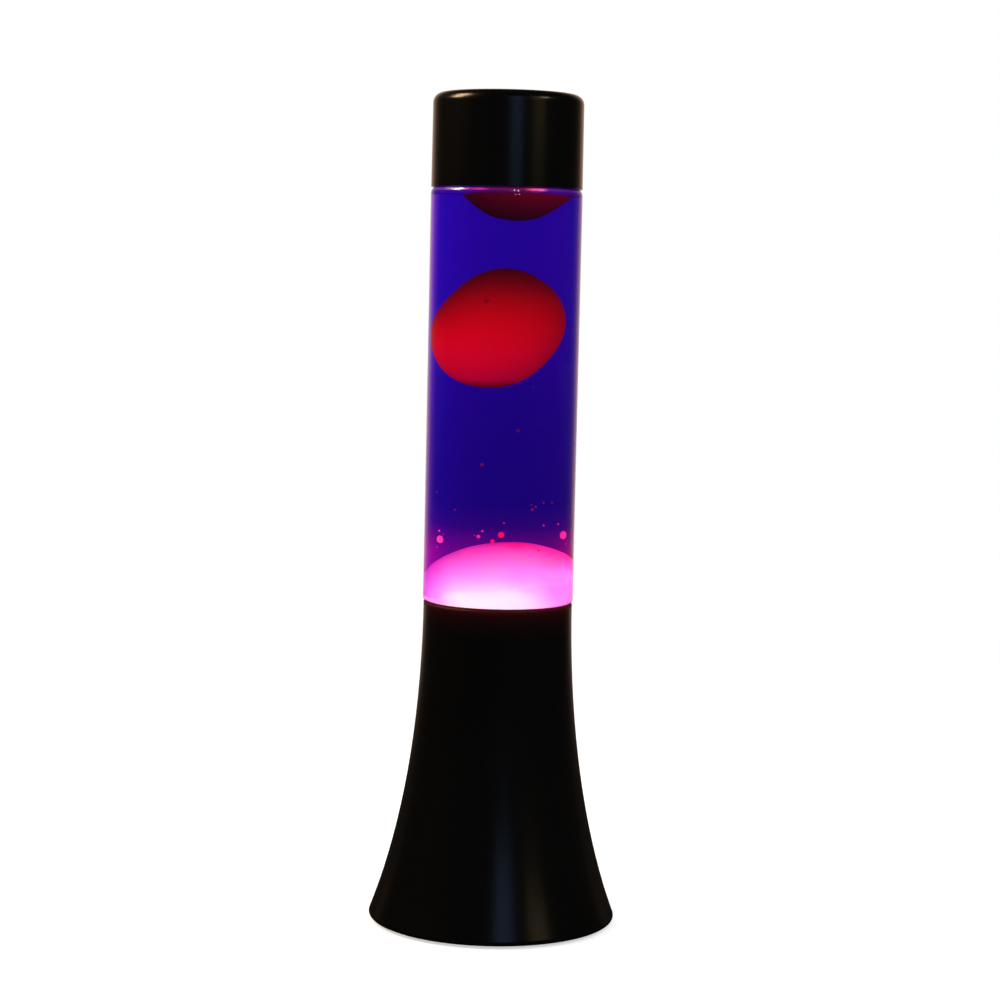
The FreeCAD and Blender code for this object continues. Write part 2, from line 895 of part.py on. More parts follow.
def clamp_screw(x, y):
    """A grub screw whose tip stops just above the lead."""
    bottom = block_axis_height() + lead_radius + press_gap
    top = plate_top + block_height - barrel_wall
    screw = disc(block_screw_radius, bottom, top - bottom, x, y)
    slot = block(x - block_screw_radius, x + block_screw_radius, y - loose_gap, y + loose_gap,
                 top - barrel_wall, top)
    return screw.cut(slot)


def block_fixing_screw():
    """A pan head screw through the middle of the block into the plate."""
    shank_bottom = plate_bottom - screw_tail / 2
    top = plate_top + block_height
    shank = disc(block_screw_radius, shank_bottom, top - shank_bottom, 0, block_centre_y)
    head_radius = block_pitch / 2 - block_screw_radius - 2 * loose_gap
    head = disc(head_radius, top, screw_head_height, 0, block_centre_y)
    slot = block(-head_radius, head_radius, block_centre_y - loose_gap, block_centre_y + loose_gap,
                 top + screw_head_height / 2, top + screw_head_height)
    return shank.fuse(head).cut(slot).removeSplitter()


def lead(side):
    """From one pole of the block, under the bracket, up the nipple and out to its terminal."""
    x = side * block_pitch / 2
    near = side * lead_spread
    low = bracket_top - lead_under_bracket
    clear_of_block = block_front() - 2 * lead_radius
    points = [
        vec(x, block_front() + block_screw_pitch, block_axis_height()),
        vec(x, clear_of_block, block_axis_height()),
        vec(near, clear_of_block / 2, low),
        vec(near, 0, low),
        vec(near, 0, terminal_axis_height()),
        vec(side * (terminal_offset - tongue_sheet), 0, terminal_axis_height()),
    ]
    path = tangent_path(points, lead_bend_share)
    pipe = round_pipe(path, lead_radius)
    ideal = math.pi * lead_radius ** 2 * path.Length
    print(f"lead length {path.Length:.1f}, volume over section times length {pipe.Volume / ideal:.4f}")
    return pipe


# Bottle

def corner_centre():
    """Centre of the glass's rounded shoulder, set so that the cap's inner edge sits on it."""
    radius = glass_radius - shoulder_corner
    reach = cap_radius - cap_wall - radius
    drop = math.sqrt(shoulder_corner ** 2 - reach ** 2)
    return at(radius, glass_top - drop - press_gap)


def shoulder_curve(corner, neck):
    """From a rounded corner of the given radius up to the neck."""
    angle = math.radians(shoulder_turn)
    start = corner_centre() + at(corner * math.cos(angle), corner * math.sin(angle))
    end = at(neck, glass_top + shoulder_rise)
    run = (start.x - end.x) / 2
    ahead = at(-math.sin(angle), math.cos(angle)) * run
    return bezier(start, start + ahead, end - at(0, shoulder_rise), end)


def bottle_outside():
    heel = base_height
    bottom = bottle_bottom
    top = neck_top
    recess = finish_radius - finish_recess
    standing = plug_radius - plug_corner
    return turned([
        bezier(
            at(0, bottom + floor_punt),
            at(standing / 3, bottom + floor_punt),
            at(standing * 2 / 3, bottom),
            at(standing, bottom),
        ),
        arc_about(at(plug_radius - plug_corner, bottom + plug_corner), plug_corner, -90, 0),
        at(plug_radius, heel),
        arc_about(at(glass_radius - heel_corner, heel + heel_corner), heel_corner, -90, 0),
        arc_about(corner_centre(), shoulder_corner, 0, shoulder_turn),
        shoulder_curve(shoulder_corner, neck_radius),
        arc_about(
            at(neck_radius - finish_corner, finish_bottom - 2 * finish_corner), finish_corner, 0, 90
        ),
        at(recess, finish_bottom - finish_corner),
        at(recess, finish_bottom),
        at(finish_radius, finish_bottom + finish_corner / 2),
        arc_about(at(finish_radius - finish_corner, top - finish_corner), finish_corner, 0, 90),
        at(0, top),
    ])


def bottle_inside():
    """The space in the bottle, from its floor to the mouth."""
    bottom = bottle_bottom + floor_punt + floor_thickness
    inner = plug_bore_radius
    corner = plug_corner - glass_wall / 2
    straight = base_height + heel_corner + glass_wall
    radius = bore_radius
    bend = glass_wall
    neck = neck_radius - neck_wall
    mouth = finish_radius - 2 * neck_wall
    return turned([
        at(0, bottom),
        arc_about(at(inner - corner, bottom + corner), corner, -90, 0),
        bezier(
            at(inner, straight - 2 * bend),
            at(inner, straight - bend),
            at(radius, straight - bend / 2),
            at(radius, straight + bend),
        ),
        arc_about(corner_centre(), shoulder_corner - glass_wall, 0, shoulder_turn),
        shoulder_curve(shoulder_corner - glass_wall, neck),
        at(neck, finish_bottom - finish_height / 2),
        at(mouth, finish_bottom),
        at(mouth, neck_top),
        at(0, neck_top),
    ])


# Crown closure

def crown_wave(radius, depth, height):
    """A closed outline with one wave for each flute."""
    points = []
    for index in range(crown_flutes * 4):
        degrees = 360 * index / (crown_flutes * 4)
        lift = depth / 2 * (math.cos(math.radians(degrees * crown_flutes)) - 1)
        points.append(polar(radius + lift, degrees, height))
    curve = Part.BSplineCurve()
    curve.interpolate(Points=points, PeriodicFlag=True)
    return Part.Wire(curve.toShape())


def crown_skirt(flare_radius, waist_radius, bottom, waist):
    """The fluted skirt, filled, from its flared edge up to its round waist."""
    edge = crown_wave(flare_radius, crown_flute_depth, bottom)
    return Part.makeLoft([edge, crown_wave(waist_radius, 0, waist)], True, True)


def crown_cap():
    top = neck_top + liner_thickness + crown_sheet
    waist = top - crown_skirt_height / 4
    bottom = top - crown_skirt_height
    inner = finish_radius + press_gap
    skirt = crown_skirt(crown_skirt_radius, inner + crown_sheet + press_gap, bottom, waist)
    lid = disc(inner + crown_sheet, waist, top - waist)
    rims = [edge for edge in lid.Edges if edge.BoundBox.ZMin > waist + press_gap]
    lid = lid.makeFillet((top - waist) * 3 / 4, rims)
    hollow = crown_skirt(crown_skirt_radius - crown_sheet, inner + press_gap, bottom, waist)
    shell = skirt.fuse(lid).cut(hollow).cut(disc(inner, waist, neck_top - waist))
    return shell.cut(disc(finish_radius - crown_sheet, neck_top, liner_thickness)).removeSplitter()


def crown_liner():
    return disc(finish_radius - crown_sheet - press_gap, neck_top, liner_thickness)


# Wax and liquid

def pool_tool():
    """Everything under the wax pool's domed, slightly sloping surface."""
    peak = base_height + pool_rise
    reach = pool_overreach * bore_radius
    steps = 6
    points = []
    for index in range(steps + 1):
        radius = reach * index / steps
        points.append(at(radius, peak - pool_drop * (radius / bore_radius) ** pool_power))
    slope = pool_drop * pool_power * (reach / bore_radius) ** (pool_power - 1) / bore_radius
    surface = spline_through(points, at(1, 0), at(1, -slope))
    below = bottle_bottom - glass_radius
    tool = turned([at(0, below), surface, at(reach, below)])
    tool.rotate(at(0, peak), vec(0, 1, 0), -pool_tilt)
    tool.translate(vec(pool_shift, 0, 0))
    return tool


def coil_height():
    floor = bottle_bottom + floor_punt + floor_thickness
    return floor + coil_seat + coil_wire / 2 + coil_curl_radius


def coil_place(turn):
    ring = math.radians(coil_opening / 2 + (360 - coil_opening) * turn / coil_curls)
    curl = 2 * math.pi * turn
    radius = coil_ring_radius + coil_curl_radius * math.cos(curl)
    return vec(
        radius * math.cos(ring), radius * math.sin(ring), coil_height() + coil_curl_radius * math.sin(curl)
    )


def way_along(place):
    """The direction of a curve given by its place at each turn."""
    step = 1e-4

    def way(turn):
        return (place(turn + step) - place(turn - step)).normalize()

    return way


def heat_coil():
    gap = least_self_gap(coil_place, coil_curls, coil_wire / 2)
    print(f"heat coil: least gap to itself {gap:.2f}")
    return wound_bar(coil_place, way_along(coil_place), coil_curls, coil_wire / 2)


def wax_pool(inside, tool):
    groove = Part.makeTorus(coil_ring_radius, coil_curl_radius + coil_wire / 2 + coil_groove)
    groove.translate(vec(0, 0, coil_height()))
    return inside.common(tool).cut(groove)


def wax_blob_mid(extra=0.0):
    """A leaning egg of wax."""
    length = blob_half_length + extra
    width = blob_half_width + extra
    ellipse = Part.Ellipse(at(0, length), at(width, 0), ORIGIN)
    half = Part.ArcOfEllipse(ellipse, -math.pi, 0).toShape()
    ends = edge_ends(half)
    face = Part.Face(Part.Wire([half, line(ends[1], ends[0])]))
    blob = face.revolve(ORIGIN, Z, 360)
    blob.rotate(ORIGIN, vec(0, 1, 0), blob_tilt)
    blob.translate(at(blob_shift, base_height + blob_share * visible_glass))
    return blob


def wax_blob_top(extra=0.0):
    """A lens of wax that floats under the surface."""
    top = liquid_level
    radius = lens_radius + extra
    bottom = top - lens_depth - extra
    rim = top - lens_rim - extra
    lens = turned([
        bezier(
            at(0, bottom),
            at(radius / 2, bottom),
            at(radius - lens_rim, (bottom + rim) / 2 + lens_rim),
            at(radius, rim),
        ),
        bezier(at(radius, rim), at(radius + lens_rim / 4, top), at(radius - lens_rim, top)),
        at(0, top),
    ])
    lens.translate(vec(lens_shift, 0, 0))
    return lens


def wax_bead(degrees, inward, rise, size):
    place = polar(bore_radius * (1 - inward), degrees, base_height + rise * pool_rise)
    return Part.makeSphere(size * bore_radius, place)


def liquid(inside, tool, droplets):
    """Everything between the pool and the level, with room for the blobs and beads."""
    tall = cap_top - liquid_level
    body = inside.cut(disc(glass_radius, liquid_level, tall)).cut(tool)
    body = body.cut(wax_blob_mid(cavity_gap)).cut(wax_blob_top(cavity_gap))
    for droplet in droplets:
        body = body.cut(droplet)
    return body


# Cap

def cap_inner_radius(height):
    rise = (height - glass_top) / (cap_height - cap_corner)
    return cap_radius - cap_wall - cap_taper * rise


def top_cap():
    top_radius = cap_radius - cap_taper
    edge = cap_wall / 4
    inner_corner = cap_corner - cap_wall
    lower = glass_top
    corner_height = cap_top - cap_corner
    return turned([
        arc_about(at(cap_radius - edge, lower + edge), edge, -90, 0),
        arc_about(at(top_radius - cap_corner, corner_height), cap_corner, 0, 90),
        at(0, cap_top),
        at(0, cap_top - cap_wall),
        arc_about(at(top_radius - cap_corner, corner_height), inner_corner, 90, 0),
        at(cap_inner_radius(lower), lower),
    ])


def cap_centring_ring():
    bottom = glass_top + shoulder_rise + cap_ring_above_shoulder
    top = bottom + cap_ring_height
    outer = cap_inner_radius(top) - press_gap
    bore = crown_skirt_radius + cap_ring_room
    return turned([
        at(bore, bottom),
        at(outer, bottom),
        at(outer, top),
        at(outer - cap_ring_wall, top),
        at(outer - cap_ring_wall, bottom + cap_ring_web),
        at(bore + cap_ring_wall, bottom + cap_ring_web),
        at(bore + cap_ring_wall, top),
        at(bore, top),
    ])


# Seat ring

def seat_ring():
    flange_radius = rim_radius - ring_flange_inset
    corner = ring_flange / 2
    return turned([
        at(ring_bore, base_height - ring_depth),
        at(ring_sleeve_outer, base_height - ring_depth),
        at(ring_sleeve_outer, shell_top),
        at(flange_radius, shell_top),
        arc_about(at(flange_radius - corner, base_height - corner), corner, 0, 90),
        at(ring_bore, base_height),
    ])


# Bulb

def bulb_contact():
    return disc(button_radius, contact_height, button_height)


def bulb_insulator():
    bottom = contact_height + button_height
    top_radius = thread_mean_radius - thread_depth - press_gap
    return Part.makeCone(insulator_low_radius, top_radius, insulator_height, at(0, bottom), Z)


def bulb_cap_shell():
    shell = screw_body(thread_mean_radius, thread_bottom, thread_top)
    shell = shell.fuse(disc(collar_radius, thread_top, collar_height))
    bore_bottom = thread_bottom + cap_shell_floor
    bore = disc(cap_shell_bore, bore_bottom, collar_top - bore_bottom)
    eyelet = disc(button_radius, thread_bottom, cap_shell_floor)
    return shell.cut(bore).cut(eyelet).removeSplitter()


def envelope_solid(inset):
    """The glass filled to its outside, or to its inside when drawn in by its thickness."""
    bottom = contact_height + bulb_neck_start
    neck = bulb_neck_radius - inset
    widest = bulb_radius - inset
    wide_height = bulb_top - bulb_crown
    top = bulb_top - inset
    bowl = wide_height - collar_top
    crown = top - wide_height
    return turned([
        at(0, bottom),
        at(neck, bottom),
        bezier(
            at(neck, collar_top),
            at(neck, collar_top + bowl / 4),
            at(widest, wide_height - bowl * 2 / 5),
            at(widest, wide_height),
        ),
        bezier(
            at(widest, wide_height),
            at(widest, wide_height + crown * bulb_crown_fullness),
            at(widest * bulb_crown_fullness, top),
            at(0, top),
        ),
    ])


def bulb_envelope():
    return envelope_solid(0).cut(envelope_solid(bulb_glass))


def stem_top():
    return contact_height + bulb_neck_start + stem_height


def bulb_stem():
    bottom = contact_height + bulb_neck_start
    flare = bulb_neck_radius - bulb_glass - press_gap
    press = stem_radius * 3 / 4
    return turned([
        at(0, bottom),
        at(flare, bottom),
        bezier(at(flare, bottom + bulb_glass), at(stem_radius, bottom + bulb_glass),
               at(stem_radius, bottom + stem_height / 2)),
        at(press, stem_top()),
        at(0, stem_top()),
    ])


def filament_axis_height():
    return stem_top() + filament_above_stem


def bulb_support(side):
    """A wire from the top of the stem's press up to one end of the filament."""
    start = vec(side * stem_radius / 2, 0, stem_top())
    end = vec(side * support_spread, filament_coil, filament_axis_height())
    length = (end - start).Length
    ahead = (end - start).normalize()
    root = 2 * support_radius
    wire = Part.makeCylinder(support_radius, length + root, start - ahead * root, ahead)
    return wire.cut(disc(stem_radius, stem_top() - stem_radius, stem_radius))


def filament_place(turn):
    run = 2 * (support_spread - support_radius - filament_wire - press_gap)
    angle = 2 * math.pi * turn
    return vec(
        run * (turn / filament_turns - 0.5),
        filament_coil * math.cos(angle),
        filament_axis_height() + filament_coil * math.sin(angle),
    )


def filament():
    gap = least_self_gap(filament_place, filament_turns, filament_wire)
    print(f"filament: least gap to itself {gap:.2f}")
    return wound_bar(filament_place, way_along(filament_place), filament_turns, filament_wire)


# All the pieces

os.makedirs("parts", exist_ok=True)

shell = base_shell()
save("base_shell", shell)
save("seat_ring", seat_ring())
save("base_plate", base_plate())
save("plate_lugs", [spun(plate_lug(), degrees) for degrees in lug_angles])
save("plate_screws", [spun(plate_screw(), degrees) for degrees in lug_angles])
save("rubber_feet", [spun(rubber_foot(), degrees) for degrees in pad_angles])
save("cord_grommet", cord_grommet(shell))

save("holder_bracket", holder_bracket())
save("bracket_screws", [bracket_screw(-bracket_screw_x()), bracket_screw(bracket_screw_x())])
save("threaded_nipple", threaded_nipple())
save("lock_nut", lock_nut())
save("lampholder_dome", lampholder_dome())
save("lampholder_skirt", lampholder_skirt())
save("holder_insert", holder_insert())
save("holder_screw_shell", holder_screw_shell())
save("holder_centre_contact", holder_centre_contact())
save("holder_terminals", [holder_terminal(-1), holder_terminal(1)])
save("holder_terminal_screws", [holder_terminal_screw(-1), holder_terminal_screw(1)])

save("terminal_block", terminal_block())
poles = (-block_pitch / 2, block_pitch / 2)
save("terminal_barrels", [terminal_barrel(x) for x in poles])
save("terminal_screws", [clamp_screw(x, y) for x in poles for y in block_screw_places()])
save("block_fixing_screw", block_fixing_screw())
save("live_lead", lead(-1))
save("neutral_lead", lead(1))

save("bulb_contact", bulb_contact())
save("bulb_insulator", bulb_insulator())
save("bulb_cap_shell", bulb_cap_shell())
save("bulb_envelope", bulb_envelope())
save("bulb_stem", bulb_stem())
save("bulb_supports", [bulb_support(-1), bulb_support(1)])
save("bulb_filament", filament())

inside = bottle_inside()
tool = pool_tool()
droplets = [wax_bead(*bead) for bead in beads]
save("bottle_glass", bottle_outside().cut(inside))
save("crown_cap", crown_cap())
save("crown_liner", crown_liner())
save("liquid", liquid(inside, tool, droplets))
save("wax_pool", wax_pool(inside, tool))
save("wax_droplets", droplets)
save("heat_coil", heat_coil())
save("wax_blob_mid", wax_blob_mid())
save("wax_blob_top", wax_blob_top())

save("top_cap", top_cap())
save("cap_centring_ring", cap_centring_ring())
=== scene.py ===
import json
import math

import bmesh
import bpy
from mathutils import Matrix, Vector, noise


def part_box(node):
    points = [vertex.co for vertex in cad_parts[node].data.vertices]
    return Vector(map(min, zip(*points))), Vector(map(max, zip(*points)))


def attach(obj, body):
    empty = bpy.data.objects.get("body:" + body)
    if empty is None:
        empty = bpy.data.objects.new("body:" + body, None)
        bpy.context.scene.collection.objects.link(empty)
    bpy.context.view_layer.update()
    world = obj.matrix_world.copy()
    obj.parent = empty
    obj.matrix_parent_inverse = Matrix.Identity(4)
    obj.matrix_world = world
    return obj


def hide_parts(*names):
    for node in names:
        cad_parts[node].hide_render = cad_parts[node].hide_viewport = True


# Looks of the liquid motion lamp. Lengths are metres, in the frame of the solids: +Z is up
# and the lamp's front faces -Y.

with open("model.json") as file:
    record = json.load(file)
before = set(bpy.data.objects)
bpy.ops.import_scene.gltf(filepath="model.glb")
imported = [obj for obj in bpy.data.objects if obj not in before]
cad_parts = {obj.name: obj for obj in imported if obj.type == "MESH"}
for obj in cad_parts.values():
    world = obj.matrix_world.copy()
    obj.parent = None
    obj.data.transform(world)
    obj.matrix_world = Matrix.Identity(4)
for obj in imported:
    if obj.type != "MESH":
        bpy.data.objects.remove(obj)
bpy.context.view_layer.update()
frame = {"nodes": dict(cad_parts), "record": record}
nodes = frame["nodes"]

# The glass's inside, which the modelled pieces fill: a narrow plug, a shoulder and the bore
BORE = 0.028
PLUG_BORE = 0.0247
PLUG_FLOOR = 0.1173
PLUG_CORNER = 0.0030
SHOULDER = ((PLUG_BORE, 0.1285), (PLUG_BORE, 0.1305), (BORE, 0.1315), (BORE, 0.1345))
WALL_GRIP = 0.0001  # how far a filling reaches into the glass

# Heights
BASE_TOP = 0.1295
LIQUID_FLOOR = 0.1262
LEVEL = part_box("liquid")[1].z
FILM_LINE = 0.2916
GLASS_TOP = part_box("top_cap")[0].z

# The molten pool: its top, its fall to the glass, how round it is and how it leans
POOL_PEAK = 0.1533
POOL_DROP = 0.0163
POOL_POWER = 2.45
POOL_SHIFT = 0.0018
POOL_TILT = math.radians(3.2)

ROUND = 192  # points round a turned piece


# Shader helpers

class Nodes:
    """A node tree, the place that its patterns use, and short calls that add nodes."""

    def __init__(self, tree, coordinates):
        self.tree = tree
        self.tree.nodes.clear()
        self.place = self.add("TexCoord").outputs[coordinates]

    def add(self, kind, **settings):
        made = self.tree.nodes.new("ShaderNode" + kind)
        for name, value in settings.items():
            setattr(made, name, value)
        return made

    def put(self, socket, value):
        """Link another node's output to a socket, or set the socket's own value."""
        if isinstance(value, bpy.types.NodeSocket):
            self.tree.links.new(value, socket)
        elif socket.type == "RGBA" and len(value) == 3:
            socket.default_value = (*value, 1.0)
        else:
            socket.default_value = value

    def axes(self):
        made = self.add("SeparateXYZ")
        self.put(made.inputs[0], self.place)
        return made.outputs

    def calc(self, kind, first, second=0.0):
        made = self.add("Math", operation=kind)
        self.put(made.inputs[0], first)
        self.put(made.inputs[1], second)
        return made.outputs[0]

    def plus(self, first, second):
        return self.calc("ADD", first, second)

    def times(self, first, *others):
        for other in others:
            first = self.calc("MULTIPLY", first, other)
        return first

    def span(self, value, low, high, to_low=0.0, to_high=1.0, smooth=False):
        """Where a value lies between low and high, as a number from to_low to to_high."""
        made = self.add("MapRange")
        if smooth:
            made.interpolation_type = "SMOOTHSTEP"
        self.put(made.inputs["Value"], value)
        made.inputs["From Min"].default_value = low
        made.inputs["From Max"].default_value = high
        made.inputs["To Min"].default_value = to_low
        made.inputs["To Max"].default_value = to_high
        return made.outputs["Result"]

    def ramp(self, value, stops):
        """Colours along a value, from stops of (place, colour)."""
        made = self.add("ValToRGB")
        self.put(made.inputs["Fac"], value)
        points = made.color_ramp.elements
        points[0].position, points[0].color = stops[0][0], (*stops[0][1], 1.0)
        points[1].position, points[1].color = stops[-1][0], (*stops[-1][1], 1.0)
        for position, colour in stops[1:-1]:
            points.new(position).color = (*colour, 1.0)
        return made.outputs["Color"]

    def levels(self, value, stops):
        """Numbers along a value, from stops of (place, number)."""
        return self.ramp(value, [(position, (level,) * 3) for position, level in stops])

    def mix(self, share, first, second, kind="MIX"):
        made = self.add("Mix", data_type="RGBA", blend_type=kind)
        self.put(made.inputs[0], share)
        self.put(made.inputs[6], first)
        self.put(made.inputs[7], second)
        return made.outputs[2]

    def filtered(self, share, colour, factor):
        """A colour, multiplied by the factor where the share is 1."""
        return self.mix(share, colour, self.mix(1.0, colour, factor, "MULTIPLY"))


class Look(Nodes):
    """A material with its Principled node, patterned in its object's own frame."""

    def __init__(self, name):
        self.material = bpy.data.materials.new(name)
        self.material.use_nodes = True
        super().__init__(self.material.node_tree, "Object")
        self.output = self.add("OutputMaterial")
        self.surface = self.add("BsdfPrincipled")
        self.tree.links.new(self.surface.outputs[0], self.output.inputs["Surface"])

    def set(self, values):
        for name, value in values.items():
            self.put(self.surface.inputs[name], value)

    def absorb(self, colour, density):
        """A colour that deepens with the way through the piece."""
        made = self.add("VolumeAbsorption")
        self.put(made.inputs["Color"], colour)
        made.inputs["Density"].default_value = density
        self.tree.links.new(made.outputs[0], self.output.inputs["Volume"])

    def stretched(self, scale):
        mapping = self.add("Mapping")
        self.put(mapping.inputs["Vector"], self.place)
        mapping.inputs["Scale"].default_value = scale
        return mapping.outputs["Vector"]

    def noise(self, scale, detail=3.0, vector=None):
        made = self.add("TexNoise")
        self.put(made.inputs["Vector"], vector or self.place)
        made.inputs["Scale"].default_value = scale
        made.inputs["Detail"].default_value = detail
        return made.outputs["Fac"]

    def cells(self, scale):
        made = self.add("TexVoronoi")
        self.put(made.inputs["Vector"], self.place)
        made.inputs["Scale"].default_value = scale
        return made.outputs["Distance"]

    def mottled(self, pattern, first, second):
        """Two colours that a noise pattern blends."""
        return self.ramp(pattern, [(0.3, first), (0.7, second)])

    def bump(self, height, depth, strength=1.0, under=None):
        made = self.add("Bump")
        self.put(made.inputs["Height"], height)
        made.inputs["Distance"].default_value = depth
        made.inputs["Strength"].default_value = strength
        if under is not None:
            self.put(made.inputs["Normal"], under)
        return made.outputs["Normal"]

    def edges(self, low=0.5, high=0.56):
        """1 on sharp outer edges, 0 on flats."""
        return self.span(self.add("NewGeometry").outputs["Pointiness"], low, high)


def pool_top(x, y):
    """Height of the molten pool's domed, leaning surface.

    Near the glass it sinks a little more, at the left, at the right and all along the back.
    """
    aside = x - POOL_SHIFT
    fall = POOL_DROP * (math.hypot(aside, y) / BORE) ** POOL_POWER
    swell = 0.00035 * noise.noise(Vector((x * 70, y * 70, 3.1)))
    left = 0.0034 * min(1.6, (max(0.0, -x - 0.0150) / 0.0065) ** 2)
    right = 0.0009 * min(1.6, (max(0.0, x - 0.0160) / 0.0065) ** 2)
    brink = max(0.0, math.hypot(x, y) - 0.0195) / 0.0027
    behind = min(1.0, max(0.0, (y + 0.004) / 0.010))
    brink = min(0.006, 0.0025 * brink ** 2) * behind * (0.75 - 0.25 * x / BORE)
    return POOL_PEAK - fall + aside * math.tan(POOL_TILT) + swell - left - right - brink


# Materials

def black_enamel():
    """Black paint, duller at the upper lip, and faintly red there with a painted glow for the
    wax's light.
    """
    look = Look("black-enamel")
    peel = look.noise(620, 2.0)
    grain = look.noise(2600, 2.0)
    dust = look.span(look.noise(5200, 4.0), 0.70, 0.78)
    wipes = look.noise(30, 4.0, look.stretched((1.0, 1.0, 0.35)))
    shade = look.mottled(wipes, (0.0012, 0.0012, 0.0012), (0.0020, 0.0019, 0.0017))
    shade = look.mix(look.times(dust, 0.2), shade, (0.022, 0.020, 0.018))
    shade = look.mix(look.times(look.edges(0.54, 0.62), 0.25), shade, (0.012, 0.011, 0.010))
    normal = look.bump(peel, 0.00006, 0.5)
    normal = look.bump(grain, 0.00001, 0.5, normal)
    near_lip = look.span(look.axes()[2], BASE_TOP - 0.012, BASE_TOP + 0.0005)
    # Painted light: a faint red emission near the lip stands in for the wax's light on the paint.
    painted_lip_glow = look.ramp(near_lip, [
        (0.0, (0.0, 0.0, 0.0)),
        (0.48, (0.003, 0.0, 0.0)),
        (0.72, (0.0085, 0.0, 0.0005)),
        (0.848, (0.020, 0.0005, 0.001)),
        (0.912, (0.040, 0.001, 0.002)),
        (0.955, (0.075, 0.001, 0.003)),
        (0.999, (0.085, 0.001, 0.004)),
        (1.0, (0.0, 0.0, 0.0)),
    ])
    lip = look.levels(near_lip, [
        (0.0, 0.0),
        (0.80, 0.0),
        (0.89, 1.0),
        (0.999, 1.0),
        (1.0, 0.0),
    ])
    sheen = look.span(wipes, 0.25, 0.75, 0.175, 0.235)
    look.set({
        "Base Color": shade,
        "Roughness": look.mix(lip, sheen, (0.62, 0.62, 0.62)),
        "Specular IOR Level": 0.5,
        "Emission Color": painted_lip_glow,
        "Emission Strength": 1.0,
        "Normal": normal,
    })
    return look.material


def zinc_plated():
    look = Look("zinc-plated")
    brushed = look.noise(900, 3.0, look.stretched((1.0, 0.12, 1.0)))
    clouds = look.noise(60, 4.0)
    shade = look.ramp(clouds, [
        (0.25, (0.50, 0.51, 0.53)),
        (0.5, (0.62, 0.61, 0.57)),
        (0.75, (0.56, 0.58, 0.62)),
    ])
    shade = look.mix(look.times(look.edges(), 0.4), shade, (0.74, 0.74, 0.73))
    look.set({
        "Base Color": shade,
        "Metallic": 1.0,
        "Roughness": look.span(brushed, 0.2, 0.8, 0.26, 0.46),
        "Normal": look.bump(brushed, 0.00002, 0.35),
    })
    return look.material


def black_rubber():
    look = Look("black-rubber")
    grain = look.noise(3200, 3.0)
    bloom = look.noise(90, 5.0)
    shade = look.ramp(bloom, [(0.35, (0.010, 0.010, 0.011)), (0.75, (0.030, 0.029, 0.028))])
    look.set({
        "Base Color": shade,
        "Roughness": look.span(grain, 0.3, 0.7, 0.62, 0.82),
        "Specular IOR Level": 0.35,
        "Normal": look.bump(grain, 0.00004, 0.5),
    })
    return look.material


def white_thermoset():
    look = Look("white-thermoset")
    flow = look.noise(70, 4.0)
    pits = look.noise(2400, 2.0)
    shade = look.mottled(flow, (0.66, 0.64, 0.58), (0.72, 0.70, 0.65))
    look.set({
        "Base Color": shade,
        "Roughness": look.span(flow, 0.3, 0.7, 0.28, 0.4),
        "Normal": look.bump(pits, 0.00002, 0.4),
    })
    return look.material


def glazed_ceramic():
    look = Look("glazed-ceramic")
    glaze = look.noise(240, 3.0)
    specks = look.span(look.cells(1500), 0.0, 0.09, 1.0, 0.0)
    shade = look.mottled(glaze, (0.74, 0.72, 0.68), (0.80, 0.79, 0.76))
    shade = look.mix(look.times(specks, 0.35), shade, (0.35, 0.28, 0.22))
    look.set({
        "Base Color": shade,
        "Roughness": look.span(glaze, 0.3, 0.7, 0.08, 0.2),
        "Coat Weight": 0.4,
        "Coat Roughness": 0.06,
        "Normal": look.bump(glaze, 0.00005, 0.25),
    })
    return look.material


def brass():
    look = Look("brass")
    tarnish = look.noise(180, 5.0)
    rolled = look.noise(1500, 2.0, look.stretched((1.0, 1.0, 0.2)))
    shade = look.ramp(tarnish, [
        (0.3, (0.62, 0.43, 0.17)),
        (0.55, (0.78, 0.57, 0.25)),
        (0.8, (0.83, 0.63, 0.31)),
    ])
    look.set({
        "Base Color": shade,
        "Metallic": 1.0,
        "Roughness": look.span(tarnish, 0.2, 0.8, 0.38, 0.22),
        "Normal": look.bump(rolled, 0.00001, 0.4),
    })
    return look.material


def clear_nylon():
    look = Look("clear-nylon")
    painted_pool_glow = look.noise(160, 3.0)
    grain = look.noise(2800, 2.0)
    shade = look.mottled(painted_pool_glow, (0.62, 0.60, 0.53), (0.70, 0.69, 0.63))
    look.set({
        "Base Color": shade,
        "Roughness": look.span(painted_pool_glow, 0.3, 0.7, 0.35, 0.5),
        "Subsurface Weight": 0.35,
        "Subsurface Radius": (0.004, 0.004, 0.003),
        "Subsurface Scale": 1.0,
        "Normal": look.bump(grain, 0.00002, 0.35),
    })
    return look.material


def sleeve(name, dark, light):
    look = Look(name)
    print_through = look.noise(900, 3.0)
    scuff = look.noise(150, 4.0)
    look.set({
        "Base Color": look.mottled(scuff, dark, light),
        "Roughness": look.span(print_through, 0.3, 0.7, 0.32, 0.48),
        "Normal": look.bump(print_through, 0.00004, 0.3),
    })
    return look.material


def nickelled_cap():
    look = Look("nickelled-cap")
    smears = look.noise(420, 4.0, look.stretched((1.0, 1.0, 0.4)))
    shade = look.mottled(smears, (0.60, 0.59, 0.56), (0.74, 0.73, 0.71))
    look.set({
        "Base Color": shade,
        "Metallic": 1.0,
        "Roughness": look.span(smears, 0.25, 0.75, 0.18, 0.34),
        "Normal": look.bump(look.noise(2600, 2.0), 0.00001, 0.3),
    })
    return look.material


def black_glass():
    look = Look("black-glass")
    ripple = look.noise(700, 2.0)
    look.set({
        "Base Color": look.mottled(ripple, (0.008, 0.007, 0.010), (0.022, 0.018, 0.026)),
        "Roughness": look.span(ripple, 0.3, 0.7, 0.05, 0.14),
        "Normal": look.bump(ripple, 0.00008, 0.3),
    })
    return look.material


